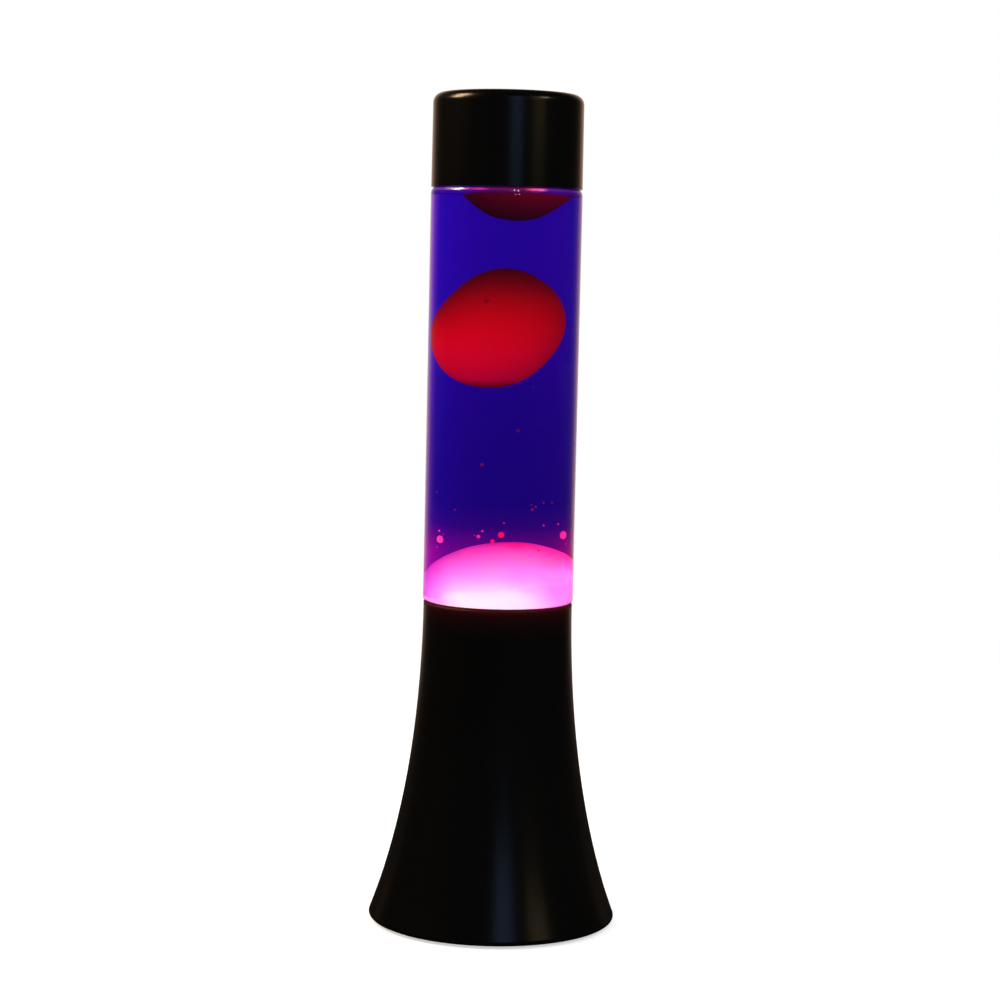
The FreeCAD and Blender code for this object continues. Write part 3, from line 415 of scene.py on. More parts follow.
def solder():
    look = Look("solder")
    dull = look.noise(900, 4.0)
    look.set({
        "Base Color": look.mottled(dull, (0.38, 0.38, 0.39), (0.60, 0.60, 0.60)),
        "Metallic": 1.0,
        "Roughness": look.span(dull, 0.3, 0.7, 0.3, 0.55),
        "Normal": look.bump(dull, 0.00008, 0.5),
    })
    return look.material


def bulb_glass():
    """Silvered from the cap up to the widest ring, then a lightly frosted, lit front."""
    look = Look("bulb-glass")
    height = look.axes()[2]
    frost = look.noise(1400, 3.0)
    ragged = look.plus(height, look.span(look.noise(400, 2.0), 0.0, 1.0, -0.0004, 0.0004))
    front = look.span(ragged, 0.0795, 0.0810, smooth=True)
    silver = look.mottled(frost, (0.72, 0.70, 0.66), (0.84, 0.83, 0.80))
    pearl = look.mottled(frost, (0.86, 0.82, 0.76), (0.95, 0.92, 0.87))
    glow = look.ramp(look.span(height, 0.079, 0.096), [
        (0.0, (0.35, 0.16, 0.05)),
        (0.4, (1.0, 0.62, 0.30)),
        (1.0, (1.0, 0.86, 0.62)),
    ])
    look.set({
        "Base Color": look.mix(front, silver, pearl),
        "Metallic": look.span(front, 0.0, 1.0, 1.0, 0.0),
        "Roughness": look.span(front, 0.0, 1.0, 0.12, 0.3),
        "Emission Color": glow,
        "Emission Strength": look.times(front, 1.6),
        "Normal": look.bump(frost, 0.00001, 0.4),
    })
    return look.material


def support_wire():
    look = Look("support-wire")
    drawn = look.noise(3000, 2.0)
    look.set({
        "Base Color": look.mottled(drawn, (0.36, 0.35, 0.34), (0.52, 0.51, 0.50)),
        "Metallic": 1.0,
        "Roughness": look.span(drawn, 0.3, 0.7, 0.3, 0.45),
    })
    return look.material


def tungsten():
    look = Look("tungsten")
    heat = look.noise(1200, 2.0)
    look.set({
        "Base Color": look.mottled(heat, (0.20, 0.19, 0.19), (0.32, 0.31, 0.31)),
        "Metallic": 1.0,
        "Roughness": look.span(heat, 0.3, 0.7, 0.35, 0.5),
        "Emission Color": look.mottled(heat, (1.0, 0.50, 0.16), (1.0, 0.62, 0.26)),
        "Emission Strength": 3.0,
    })
    return look.material


def clear_glass():
    look = Look("clear-glass")
    smudge = look.noise(45, 5.0, look.stretched((1.0, 1.0, 0.5)))
    look.set({
        "Base Color": (1.0, 1.0, 1.0),
        "Roughness": look.span(smudge, 0.55, 0.85, 0.0, 0.03),
        "IOR": 1.5,
        "Transmission Weight": 1.0,
    })
    look.absorb((0.78, 0.95, 0.88), 6.0)
    return look.material


def crown_steel():
    look = Look("crown-steel")
    lacquer = look.noise(300, 4.0)
    scratch = look.span(look.noise(700, 3.0, look.stretched((1.0, 0.08, 1.0))), 0.66, 0.72)
    shade = look.mottled(lacquer, (0.44, 0.45, 0.47), (0.58, 0.58, 0.58))
    shade = look.mix(look.times(scratch, 0.5), shade, (0.72, 0.72, 0.70))
    look.set({
        "Base Color": shade,
        "Metallic": 0.9,
        "Roughness": look.span(lacquer, 0.3, 0.7, 0.24, 0.36),
        "Normal": look.bump(lacquer, 0.00003, 0.3),
    })
    return look.material


def liner():
    look = Look("liner")
    cork = look.cells(900)
    look.set({
        "Base Color": look.ramp(cork, [(0.0, (0.42, 0.36, 0.28)), (0.6, (0.62, 0.57, 0.48))]),
        "Roughness": 0.8,
        "Normal": look.bump(cork, 0.00006, 0.4),
    })
    return look.material


def heat_coil_steel():
    look = Look("heat-coil-steel")
    temper = look.noise(500, 3.0)
    look.set({
        "Base Color": look.mottled(temper, (0.40, 0.38, 0.35), (0.55, 0.53, 0.50)),
        "Metallic": 1.0,
        "Roughness": look.span(temper, 0.3, 0.7, 0.25, 0.4),
    })
    return look.material


def dark_polystyrene():
    look = Look("dark-polystyrene")
    flow = look.noise(110, 3.0)
    look.set({
        "Base Color": look.mottled(flow, (0.020, 0.020, 0.022), (0.034, 0.034, 0.036)),
        "Roughness": look.span(flow, 0.3, 0.7, 0.3, 0.42),
        "Normal": look.bump(look.noise(2200, 2.0), 0.00002, 0.3),
    })
    return look.material


def violet_liquid():
    """Deep violet liquid, with a faint painted glow low down for the pool's light in it."""
    look = Look("violet-liquid")
    still = look.noise(25, 2.0)
    x, _, z = look.axes()
    # Painted light: an emission glow just above the pool, fading higher up.
    painted_pool_glow = look.levels(look.span(z, 0.130, 0.170), [
        (0.0, 0.20),
        (0.50, 0.14),
        (0.66, 0.064),
        (0.78, 0.014),
        (1.0, 0.0),
    ])
    # Painted light: the glow is stronger towards the left and right sides.
    painted_side_glow = look.span(look.calc("ABSOLUTE", x), 0.0185, 0.0275, 1.0, 2.1, smooth=True)
    look.set({
        "Base Color": (1.0, 1.0, 1.0),
        "Roughness": look.span(still, 0.6, 0.9, 0.0, 0.01),
        "IOR": 1.34,
        "Transmission Weight": 1.0,
        "Emission Color": look.mottled(still, (1.0, 0.0, 0.06), (1.0, 0.0, 0.16)),
        "Emission Strength": look.times(painted_pool_glow, painted_side_glow),
    })
    look.absorb((0.52, 0.0, 0.868), 148.0)
    return look.material


def pool_wax():
    """Molten wax with painted light from below: near white low down in the middle, magenta at the
    sides.
    """
    look = Look("pool-wax")
    x, y, z = look.axes()
    clouds = look.noise(110, 3.0)
    swirl = look.span(clouds, 0.3, 0.7, -0.0012, 0.0012)
    rise = look.span(look.plus(z, swirl), BASE_TOP, POOL_PEAK)
    middle = look.ramp(rise, [
        (0.0, (1.0, 0.76, 0.90)),
        (0.16, (1.0, 0.74, 0.90)),
        (0.35, (1.0, 0.56, 0.88)),
        (0.55, (1.0, 0.38, 0.66)),
        (0.80, (1.0, 0.28, 0.32)),
        (0.93, (1.0, 0.15, 0.15)),
        (0.985, (1.0, 0.08, 0.10)),
        (1.0, (1.0, 0.05, 0.08)),
    ])
    side = look.ramp(rise, [
        (0.0, (1.0, 0.24, 0.86)),
        (0.30, (1.0, 0.155, 0.76)),
        (0.45, (1.0, 0.125, 0.54)),
        (0.60, (1.0, 0.11, 0.28)),
        (0.75, (1.0, 0.07, 0.12)),
        (1.0, (1.0, 0.04, 0.07)),
    ])

    # The painted light's pale middle lies left of the axis, and low down it reaches less far to
    # the left
    lean = look.times(
        look.span(z, 0.1300, 0.1345, 1.0, 0.0),
        look.span(x, -0.002, 0.002, 0.15, -0.12),
    )
    from_middle = look.calc("ABSOLUTE", look.plus(look.times(x, look.plus(lean, 1.0)), 0.0035))
    aside = look.span(from_middle, 0.0105, 0.0260, smooth=True)
    lit = look.mix(aside, middle, side)

    # Painted light and shade: paler at the left edge, redder right of the middle, paler again at
    # the right edge
    left_edge = look.times(
        look.span(x, -0.0240, -0.0195, 1.0, 0.0),
        look.span(y, -0.016, -0.010),
        look.span(rise, 0.35, 0.60, 1.0, 0.0),
    )
    lit = look.filtered(left_edge, lit, (1.0, 1.30, 1.50))
    duller = look.times(
        look.span(x, -0.0035, 0.0115, smooth=True),
        look.span(x, 0.0150, 0.0275, 0.34, 0.07, smooth=True),
        look.span(rise, 0.24, 0.36, 0.3, 1.0, smooth=True),
        look.span(rise, 0.50, 0.80, 1.0, 0.55),
    )
    lit = look.filtered(duller, lit, (1.0, 0.0, 1.0))
    right_edge = look.times(look.span(x, 0.0165, 0.0225), look.span(rise, 0.42, 0.55))
    lit = look.filtered(right_edge, lit, (1.0, 1.40, 1.06))

    # A painted highlight: a brighter, warmer crest along the top of the left half
    steps = 8
    stops = []
    for step in range(steps + 1):
        top = pool_top(-BORE * (1 - step / steps), 0.0)
        stops.append((step / steps, (top - BASE_TOP) / (POOL_PEAK - BASE_TOP)))
    ridge = look.levels(look.span(x, -BORE, 0.0), stops)
    crest = look.times(
        look.span(look.calc("SUBTRACT", ridge, rise), 0.0, 0.15, 1.0, 0.0, smooth=True),
        look.span(x, -0.014, -0.004, 1.0, 0.0, smooth=True),
    )
    lit = look.filtered(crest, lit, (1.0, 0.80, 0.62))
    level = look.levels(rise, [
        (0.0, 0.19),
        (0.30, 0.205),
        (0.50, 0.26),
        (0.80, 0.42),
        (0.93, 0.72),
        (1.0, 0.85),
    ])
    side_level = look.levels(rise, [
        (0.0, 0.19),
        (0.30, 0.26),
        (0.55, 0.54),
        (0.80, 0.80),
        (1.0, 0.85),
    ])
    power = look.times(
        look.mix(aside, level, side_level),
        look.span(crest, 0.0, 1.0, 6.0, 7.6),
    )
    look.set({
        "Base Color": look.mottled(clouds, (0.50, 0.05, 0.10), (0.58, 0.07, 0.13)),
        "Roughness": 0.5,
        "Specular IOR Level": 0.1,
        "Emission Color": lit,
        "Emission Strength": power,
    })
    return look.material


def blob_wax():
    """Red wax inside the liquid, with painted light: glows from below, darker on top and to the
    right.
    """
    look = Look("blob-wax")
    x, _, z = look.axes()
    clouds = look.noise(90, 3.0)
    swirl = look.span(clouds, 0.3, 0.7, -0.0005, 0.0005)
    rise = look.span(look.plus(z, swirl), 0.214, 0.262)
    lit = look.ramp(rise, [
        (0.0, (1.0, 0.0, 0.034)),
        (0.2, (1.0, 0.0, 0.021)),
        (0.5, (1.0, 0.0, 0.007)),
        (0.75, (1.0, 0.001, 0.006)),
        (1.0, (1.0, 0.0, 0.018)),
    ])
    # Painted light and shade: strongest a little above the bottom, fading towards the top.
    strength = look.levels(rise, [
        (0.0, 0.26),
        (0.035, 0.42),
        (0.085, 0.95),
        (0.2, 0.92),
        (0.5, 0.72),
        (0.72, 0.52),
        (0.9, 0.26),
        (1.0, 0.16),
    ])
    # Painted light: brighter towards the left side.
    painted_left_light = look.calc(
        "MAXIMUM",
        look.span(x, -0.022, 0.019, 1.46, 1.30),
        look.span(x, -0.0212, -0.0180, 1.72, 1.30),
    )
    look.set({
        "Base Color": look.mottled(clouds, (0.22, 0.004, 0.008), (0.28, 0.006, 0.010)),
        "Roughness": 0.5,
        "Specular IOR Level": 0.08,
        "Emission Color": lit,
        "Emission Strength": look.times(strength, painted_left_light),
    })
    return look.material


def lens_wax():
    """Wax at the surface, far from the bulb, with only a faint painted glow."""
    look = Look("lens-wax")
    x, _, z = look.axes()
    clouds = look.noise(120, 3.0)
    rise = look.span(z, 0.280, 0.2907)
    lit = look.ramp(rise, [
        (0.0, (0.9, 0.002, 0.09)),
        (0.5, (1.0, 0.004, 0.07)),
        (1.0, (1.0, 0.004, 0.06)),
    ])
    look.set({
        "Base Color": look.mottled(clouds, (0.10, 0.003, 0.006), (0.13, 0.004, 0.008)),
        "Roughness": 0.5,
        "Specular IOR Level": 0.08,
        "Emission Color": lit,
        # Painted light: a little brighter towards the top and the right.
        "Emission Strength": look.times(
            look.span(rise, 0.0, 1.0, 0.08, 0.20),
            look.span(x, -0.012, 0.012, 0.8, 1.15),
        ),
    })
    return look.material


def bead_wax():
    """Beads with the pool's light painted in: bright and pink close to it, dim higher up."""
    look = Look("bead-wax")
    x, _, z = look.axes()
    clouds = look.noise(300, 2.0)
    # Painted light: a pinker glow towards the left and right sides.
    painted_glow_tint = look.ramp(look.span(x, -0.024, 0.024), [
        (0.0, (1.0, 0.060, 0.42)),
        (0.45, (1.0, 0.003, 0.11)),
        (0.55, (1.0, 0.003, 0.11)),
        (1.0, (1.0, 0.030, 0.32)),
    ])
    swirl = look.span(clouds, 0.3, 0.7, -0.001, 0.001)
    # Painted light: the glow fades with height above the pool.
    painted_pool_light = look.levels(look.span(look.plus(z, swirl), 0.150, 0.200), [
        (0.0, 1.0),
        (0.22, 0.95),
        (0.34, 0.22),
        (1.0, 0.10),
    ])
    look.set({
        "Base Color": look.mottled(clouds, (0.16, 0.004, 0.006), (0.24, 0.006, 0.010)),
        "Roughness": 0.45,
        "Specular IOR Level": 0.1,
        "Emission Color": painted_glow_tint,
        "Emission Strength": look.times(painted_pool_light, 1.35),
    })
    return look.material


def surface_film():
    """The film that climbs the glass at the level, with painted highlights: glowing streaks where
    it catches the light.
    """
    look = Look("surface-film")
    x, y, z = look.axes()
    turn = look.span(look.calc("ARCTAN2", y, x), -math.pi, math.pi)
    # Painted highlights and reflections: glowing streaks round the film's line.
    streaks = look.ramp(turn, [
        (0.0, (0.10, 0.01, 0.30)),
        (0.09, (0.16, 0.05, 0.36)),
        (0.112, (0.44, 0.22, 0.52)),
        (0.136, (0.70, 0.40, 0.62)),
        (0.155, (0.36, 0.10, 0.30)),
        (0.168, (0.26, 0.02, 0.20)),
        (0.190, (0.68, 0.02, 0.27)),
        (0.215, (0.12, 0.002, 0.07)),
        (0.288, (0.16, 0.004, 0.03)),
        (0.308, (1.0, 0.08, 0.30)),
        (0.328, (1.0, 0.08, 0.50)),
        (0.345, (0.10, 0.002, 0.26)),
        (0.41, (0.05, 0.004, 0.18)),
        (0.55, (0.30, 0.03, 0.34)),
        (0.68, (0.08, 0.004, 0.16)),
        (0.80, (0.50, 0.10, 0.44)),
        (1.0, (0.10, 0.01, 0.30)),
    ])
    # Painted light, dimmer, on the film away from its line.
    dim = look.ramp(turn, [
        (0.0, (0.05, 0.002, 0.26)),
        (0.165, (0.055, 0.002, 0.28)),
        (0.205, (0.045, 0.001, 0.09)),
        (0.300, (0.09, 0.002, 0.06)),
        (0.345, (0.06, 0.001, 0.16)),
        (0.42, (0.04, 0.001, 0.16)),
        (1.0, (0.05, 0.002, 0.26)),
    ])
    # Painted light along the film's foot.
    foot = look.ramp(turn, [
        (0.0, (0.022, 0.001, 0.33)),
        (0.150, (0.024, 0.001, 0.33)),
        (0.168, (0.030, 0.001, 0.09)),
        (0.185, (0.050, 0.001, 0.03)),
        (0.225, (0.050, 0.001, 0.010)),
        (0.320, (0.060, 0.001, 0.020)),
        (0.350, (0.045, 0.001, 0.06)),
        (0.40, (0.036, 0.001, 0.14)),
        (1.0, (0.022, 0.001, 0.33)),
    ])
    shift = look.span(look.noise(60, 2.0), 0.3, 0.7, -0.0001, 0.0001)
    height = look.plus(z, shift)
    from_line = look.calc("ABSOLUTE", look.plus(height, -FILM_LINE))
    line = look.span(from_line, 0.00015, 0.0005, 1.0, 0.0, smooth=True)
    low = look.span(height, LEVEL - 0.0004, LEVEL + 0.0003, 1.0, 0.0, smooth=True)
    high = look.span(height, FILM_LINE + 0.0003, FILM_LINE + 0.0007, 0.0, 0.85, smooth=True)
    glow = look.mix(low, look.mix(line, dim, streaks), foot)
    glow = look.mix(high, glow, (0.008, 0.001, 0.03))
    look.set({
        "Base Color": look.ramp(line, [(0.0, (0.02, 0.002, 0.05)), (1.0, (0.06, 0.01, 0.08))]),
        "Roughness": 0.2,
        "Emission Color": glow,
        "Emission Strength": 1.0,
    })
    return look.material


def sparkle():
    """Small bubbles at the surface, made bright with a painted glint."""
    look = Look("sparkle")
    clouds = look.noise(2000, 1.0)
    look.set({
        "Base Color": look.mottled(clouds, (0.6, 0.6, 0.7), (0.8, 0.8, 0.9)),
        "Roughness": 0.1,
        "Emission Color": look.mottled(clouds, (0.75, 0.70, 0.85), (1.0, 0.95, 1.0)),
        "Emission Strength": 1.0,
    })
    return look.material


def speck(name, strength):
    """A darker, redder spot in the wax, with a weaker painted glow."""
    look = Look(name)
    clouds = look.noise(700, 2.0)
    look.set({
        "Base Color": look.mottled(clouds, (0.05, 0.004, 0.008), (0.09, 0.006, 0.012)),
        "Roughness": 0.5,
        "Emission Color": look.mottled(clouds, (0.90, 0.001, 0.010), (1.0, 0.002, 0.014)),
        "Emission Strength": strength,
    })
    return look.material


looks = {
    "black_enamel": black_enamel(),
    "zinc_plated": zinc_plated(),
    "black_rubber": black_rubber(),
    "white_thermoset": white_thermoset(),
    "glazed_ceramic": glazed_ceramic(),
    "brass": brass(),
    "clear_nylon": clear_nylon(),
    "brown_sleeve": sleeve("brown-sleeve", (0.075, 0.034, 0.016), (0.105, 0.050, 0.024)),
    "blue_sleeve": sleeve("blue-sleeve", (0.018, 0.060, 0.26), (0.028, 0.085, 0.33)),
    "nickelled_cap": nickelled_cap(),
    "black_glass": black_glass(),
    "solder": solder(),
    "bulb_glass": bulb_glass(),
    "support_wire": support_wire(),
    "tungsten": tungsten(),
    "clear_glass": clear_glass(),
    "crown_steel": crown_steel(),
    "liner": liner(),
    "violet_liquid": violet_liquid(),
    "pool_wax": pool_wax(),
    "red_wax": blob_wax(),
    "heat_coil_steel": heat_coil_steel(),
    "dark_polystyrene": dark_polystyrene(),
}

for part in frame["record"]["subparts"]:
    for place in nodes[part["node"]].material_slots:
        place.material = looks[part["material_slot"]]


# Modelled pieces

def piece(name, shape, body, material, stands_for=()):
    """A mesh object made from a bmesh, smooth shaded, riding on its body."""
    mesh = bpy.data.meshes.new(name)
    bmesh.ops.recalc_face_normals(shape, faces=shape.faces)
    shape.to_mesh(mesh)
    shape.free()
    for face in mesh.polygons:
        face.use_smooth = True
    mesh.materials.append(material)
    made = bpy.data.objects.new(name, mesh)
    bpy.context.scene.collection.objects.link(made)
    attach(made, body)
    if stands_for:
        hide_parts(*stands_for)


def rings_to_shape(rings, low, high):
    """A closed skin over rings of points, with one point at each end."""
    shape = bmesh.new()
    rows = [[shape.verts.new(point) for point in ring] for ring in rings]
    first = shape.verts.new(low)
    last = shape.verts.new(high)
    turns = len(rows[0])
    for index in range(turns):
        after = (index + 1) % turns
        shape.faces.new((first, rows[0][after], rows[0][index]))
        for lower, upper in zip(rows, rows[1:]):
            shape.faces.new((lower[index], lower[after], upper[after], upper[index]))
        shape.faces.new((last, rows[-1][index], rows[-1][after]))
    return shape


def at_angle(radius, angle, height):
    """A point at an angle round the lamp's axis."""
    return Vector((radius * math.cos(angle), radius * math.sin(angle), height))


def turned(profile, turns=ROUND, wobble=None):
    """Rings of a spun profile of (radius, height), which wobble may move."""
    rings = []
    for radius, height in profile:
        ring = []
        for index in range(turns):
            point = at_angle(radius, math.tau * index / turns, height)
            ring.append(wobble(point) if wobble else point)
        rings.append(ring)
    return rings


def inner_wall(grip):
    """The glass's inside below the straight bore, reaching a little into the glass."""
    flat = PLUG_BORE - PLUG_CORNER
    rise = PLUG_FLOOR + PLUG_CORNER
    corner = PLUG_CORNER + grip
    profile = [(0.0110, PLUG_FLOOR - grip), (flat, PLUG_FLOOR - grip)]
    steps = 8
    for step in range(1, steps + 1):
        angle = math.radians(90 * step / steps)
        profile.append((flat + corner * math.sin(angle), rise - corner * math.cos(angle)))
    poles = [Vector(pole) for pole in SHOULDER]
    steps = 12
    for step in range(steps + 1):
        t = step / steps
        first, second, third = (a.lerp(b, t) for a, b in zip(poles, poles[1:]))
        spot = first.lerp(second, t).lerp(second.lerp(third, t), t)
        profile.append((spot.x + grip, spot.y))
    return profile


def pool_shape():
    """The plug's filling, a short way up the bore, and the domed top."""
    grip = 1.7 * WALL_GRIP
    wall = BORE + grip
    angles = [math.tau * index / ROUND for index in range(ROUND)]

    def top_at(radius, angle):
        return pool_top(radius * math.cos(angle), radius * math.sin(angle))

    edge = [top_at(wall, angle) for angle in angles]
    rings = turned(inner_wall(grip))
    for ring in rings:
        for point, top in zip(ring, edge):
            point.z = min(point.z, top - 0.0006)
    low = [point.z for point in rings[-1]]
    climb = 8
    for step in range(1, climb + 1):
        rings.append([
            at_angle(wall, angle, start + (top - start) * step / climb)
            for angle, start, top in zip(angles, low, edge)
        ])
    inward = 44
    for step in range(1, inward):
        radius = wall * (1 - step / inward)
        rings.append([at_angle(radius, angle, top_at(radius, angle)) for angle in angles])
    floor_point = Vector((0, 0, PLUG_FLOOR - grip))
    return rings_to_shape(rings, floor_point, Vector((0, 0, pool_top(0, 0))))


def liquid_shape():
    """From inside the pool up to the level, where its edge climbs the glass."""
    wall = BORE + WALL_GRIP
    profile = [(0.010, LIQUID_FLOOR), (0.020, LIQUID_FLOOR), (0.0240, LIQUID_FLOOR + 0.0013)]
    shoulder_low = SHOULDER[0][1] - WALL_GRIP
    profile += [spot for spot in inner_wall(WALL_GRIP) if spot[1] > shoulder_low]
    start = profile[-1][1]
    steps = 30
    for step in range(1, steps + 1):
        profile.append((wall, start + (LEVEL - start) * step / steps))
    climb = GLASS_TOP - LEVEL - 0.0001
    reach = 0.0011
    profile.append((wall, LEVEL + climb))
    for back in (0.0001, 0.0003, 0.0006, 0.0010, 0.0015, 0.0022, 0.0030, 0.0042, 0.0060, 0.0085):
        profile.append((BORE - back, LEVEL + climb * math.exp(-back / reach)))
    for radius in (0.015, 0.009, 0.004):
        profile.append((radius, LEVEL))
    return rings_to_shape(turned(profile), Vector((0, 0, LIQUID_FLOOR)), Vector((0, 0, LEVEL)))


def film_shape():
    """A thin wetted band on the glass between the level and the cap."""
    turns = 256
    outer = BORE + 1.5 * WALL_GRIP
    low, high = LEVEL - 0.0006, GLASS_TOP - 0.00005
    profile = [
        (outer, low),
        (outer, high),
        (outer - 0.0002, high),
        (outer - 0.00035, (low + high) / 2),
        (outer - 0.0006, low),
    ]

    def wobble(point):
        """The film is shorter at the back."""
        back = min(1.0, max(0.0, (point.y + 0.006) / 0.012))
        lowest = low + 0.0016 * back * back * (3 - 2 * back)
        return Vector((point.x, point.y, high - (high - point.z) * (high - lowest) / (high - low)))

    shape = bmesh.new()
    rings = turned(profile, turns, wobble)
    rows = [[shape.verts.new(point) for point in ring] for ring in rings]
    for lower, upper in zip(rows, rows[1:] + rows[:1]):
        for index in range(turns):
            after = (index + 1) % turns
            shape.faces.new((lower[index], lower[after], upper[after], upper[index]))
    return shape


# Where the egg is slimmer or fuller: a direction's x and z, how far round it, change of size
DENTS = (
    (-0.74, 0.67, 0.62, -0.085),
    (-0.25, 0.95, 0.50, 0.038),
    (-0.80, -0.58, 0.45, 0.034),
    (0.55, 0.80, 0.40, -0.026),
    (0.90, 0.25, 0.60, -0.034),
    (0.82, -0.58, 0.55, -0.050),
)


def egg_shape(centre, half_width, half_length, tilt, seed, lump):
    """A leaning egg with the soft lumps of moving wax."""
    rows, turns = 56, 96
    lean = Matrix.Rotation(tilt, 3, "Y")

    def place(direction):
        lumps = noise.noise(direction * 1.3 + Vector((seed, seed, seed)))
        way = lean @ direction
        scale = 1.0 + lump * lumps
        for x, z, reach, change in DENTS:
            scale += change * math.exp(-((way - Vector((x, 0, z))).length / reach) ** 2)
        local = Vector((
            direction.x * half_width,
            direction.y * half_width,
            direction.z * half_length,
        ))
        return centre + lean @ (local * scale)

    rings = []
    for row in range(1, rows):
        down = math.pi * row / rows
        ring = []
        for index in range(turns):
            angle = math.tau * index / turns
            ring.append(place(Vector((
                math.sin(down) * math.cos(angle),
                math.sin(down) * math.sin(angle),
                -math.cos(down),
            ))))
        rings.append(ring)
    return rings_to_shape(rings, place(Vector((0, 0, -1))), place(Vector((0, 0, 1))))


def lens_shape():
    """A lens of wax hanging from the surface, a little uneven below."""
    low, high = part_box("wax_blob_top")
    centre = (low.x + high.x) / 2
    radius = (high.x - low.x) / 2
    top = high.z - 0.0002
    depth = top - low.z
    profile = []
    for share in (0.10, 0.22, 0.36, 0.50, 0.63, 0.75, 0.85, 0.93, 0.98, 1.0):
        drop = 0.10 + 0.90 * (1 - share ** 2.3) ** 1.25
        profile.append((radius * share, top - depth * drop))
    for share, rise in ((1.0, 0.95), (0.98, 0.98), (0.90, 1.0), (0.60, 1.0), (0.30, 1.0)):
        profile.append((radius * share, top - depth * (1 - rise)))

    def wobble(point):
        lump = noise.noise(Vector((point.x * 90, point.y * 90, 7.7)))
        reach = min(1.0, (top - point.z) / depth)
        share = min(1.0, math.hypot(point.x, point.y) / radius)
        fuller = 0.0012 * share * (1 - share) * 4 * max(0.0, -point.x / radius)
        fuller *= min(1.0, 4 * reach)
        height = max(low.z, point.z + 0.0004 * lump * reach - fuller)
        return Vector((point.x + centre, point.y, height))

    rings = turned(profile, 128, wobble)
    return rings_to_shape(rings, Vector((centre, 0, low.z)), Vector((centre, 0, top)))


def add_bead(shape, centre, radius, seed):
    """A bead, pulled a little out of round."""
    made = bmesh.ops.create_icosphere(shape, subdivisions=3, radius=radius)
    for point in made["verts"]:
        direction = point.co.normalized()
        lump = noise.noise(direction * 1.1 + Vector((seed * 3.7, seed, 0.4)))
        point.co = centre + point.co * (1 + 0.07 * lump)


# Beads: angle in degrees, distance from the glass, rise above the base, radius
BEADS = [
    (-148.8, 0.0029, 0.0254, 0.00150),
    (-88.3, 0.0040, 0.0288, 0.00115),
    (-23.6, 0.0029, 0.0278, 0.00165),
    (-95.8, 0.0039, 0.0262, 0.00080),
    (-108.0, 0.0032, 0.0279, 0.00068),
    (-62.3, 0.0020, 0.0388, 0.00052),
    (-76.4, 0.0016, 0.0696, 0.00060),
    (-106.0, 0.0030, 0.0560, 0.00065),
    (-104.6, 0.0030, 0.0301, 0.00042),
    (-148.0, 0.0020, 0.0288, 0.00042),
    (-59.0, 0.0021, 0.0398, 0.00040),
    (-63.0, 0.0024, 0.0407, 0.00030),
    (-51.5, 0.0020, 0.0413, 0.00034),
    (-42.0, 0.0022, 0.0412, 0.00034),
    (-50.5, 0.0023, 0.0324, 0.00034),
    (-33.0, 0.0024, 0.0325, 0.00034),
    (-152.5, 0.0018, 0.0438, 0.00030),
    (-130.0, 0.0022, 0.0378, 0.00030),
    (-86.2, 0.0024, 0.0336, 0.00034),
    (-63.4, 0.0030, 0.0866, 0.00030),
    (-21.0, 0.0020, 0.0243, 0.00022),
    (-18.0, 0.0020, 0.0254, 0.00018),
    (-150.5, 0.0020, 0.0222, 0.00024),
    (-143.0, 0.0022, 0.0276, 0.00020),
    (-111.0, 0.0024, 0.0284, 0.00020),
    (52.0, 0.0032, 0.0128, 0.00110),
    (84.0, 0.0036, 0.0122, 0.00080),
    (121.0, 0.0030, 0.0095, 0.00060),
]

beads = bmesh.new()
for number, (degrees, inward, rise, radius) in enumerate(BEADS):
    centre = at_angle(BORE - inward, math.radians(degrees), BASE_TOP + rise)
    add_bead(beads, centre, radius, number)

piece("molten-pool", pool_shape(), "bottle", looks["pool_wax"], ["wax_pool"])
piece("liquid-fill", liquid_shape(), "bottle", looks["violet_liquid"], ["liquid"])
piece("small-beads", beads, "bottle", bead_wax(), ["wax_droplets"])

mid_low, mid_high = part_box("wax_blob_mid")
egg = egg_shape(
    centre=(mid_low + mid_high) / 2,
    half_width=0.0199,
    half_length=0.0240,
    tilt=math.radians(19.4),
    seed=2.0,
    lump=0.02,
)
piece("rising-blob", egg, "wax_mid", looks["red_wax"], ["wax_blob_mid"])
piece("surface-lens", lens_shape(), "wax_top", lens_wax(), ["wax_blob_top"])
piece("surface-film", film_shape(), "bottle", surface_film())

glints = bmesh.new()
for degrees, height, radius in (
    (-84.2, 0.2913, 0.00019),
    (-81.2, 0.2912, 0.00021),
    (-83.2, 0.2898, 0.00013),
    (-80.4, 0.2899, 0.00015),
    (31.0, 0.2916, 0.00020),
    (148.0, 0.2919, 0.00022),
):
    add_bead(glints, at_angle(BORE + 0.0001, math.radians(degrees), height), radius, degrees)
piece("surface-bubbles", glints, "bottle", sparkle())

pool_mark = bmesh.new()
for x, y, radius, seed in ((0.0129, -0.0080, 0.00045, 1), (0.0035, 0.0120, 0.00040, 2)):
    add_bead(pool_mark, Vector((x, y, pool_top(x, y) - 0.0001)), radius, seed)
piece("pool-specks", pool_mark, "bottle", speck("dark-speck", 0.6))
# A painted shadow on the rising blob: a dark spot with a weak glow.
blob_mark = bmesh.new()
add_bead(blob_mark, Vector((-0.0060, -0.0161, 0.2484)), 0.00125, 3)
piece("blob-speck", blob_mark, "wax_mid", speck("blob-shadow", 0.44))


# Stage, lights and camera

# How the backdrop shows in reflections, from straight in front of the lamp to straight behind
BACKDROP = [
    (0.0, (0.012, 0.013, 0.016)),
    (0.5, (0.012, 0.012, 0.013)),
    (0.78, (0.020, 0.015, 0.012)),
    (0.88, (0.11, 0.068, 0.045)),
    (0.94, (0.60, 0.34, 0.25)),
    (0.985, (0.85, 0.65, 0.52)),
    (1.0, (1.0, 1.0, 1.0)),
]

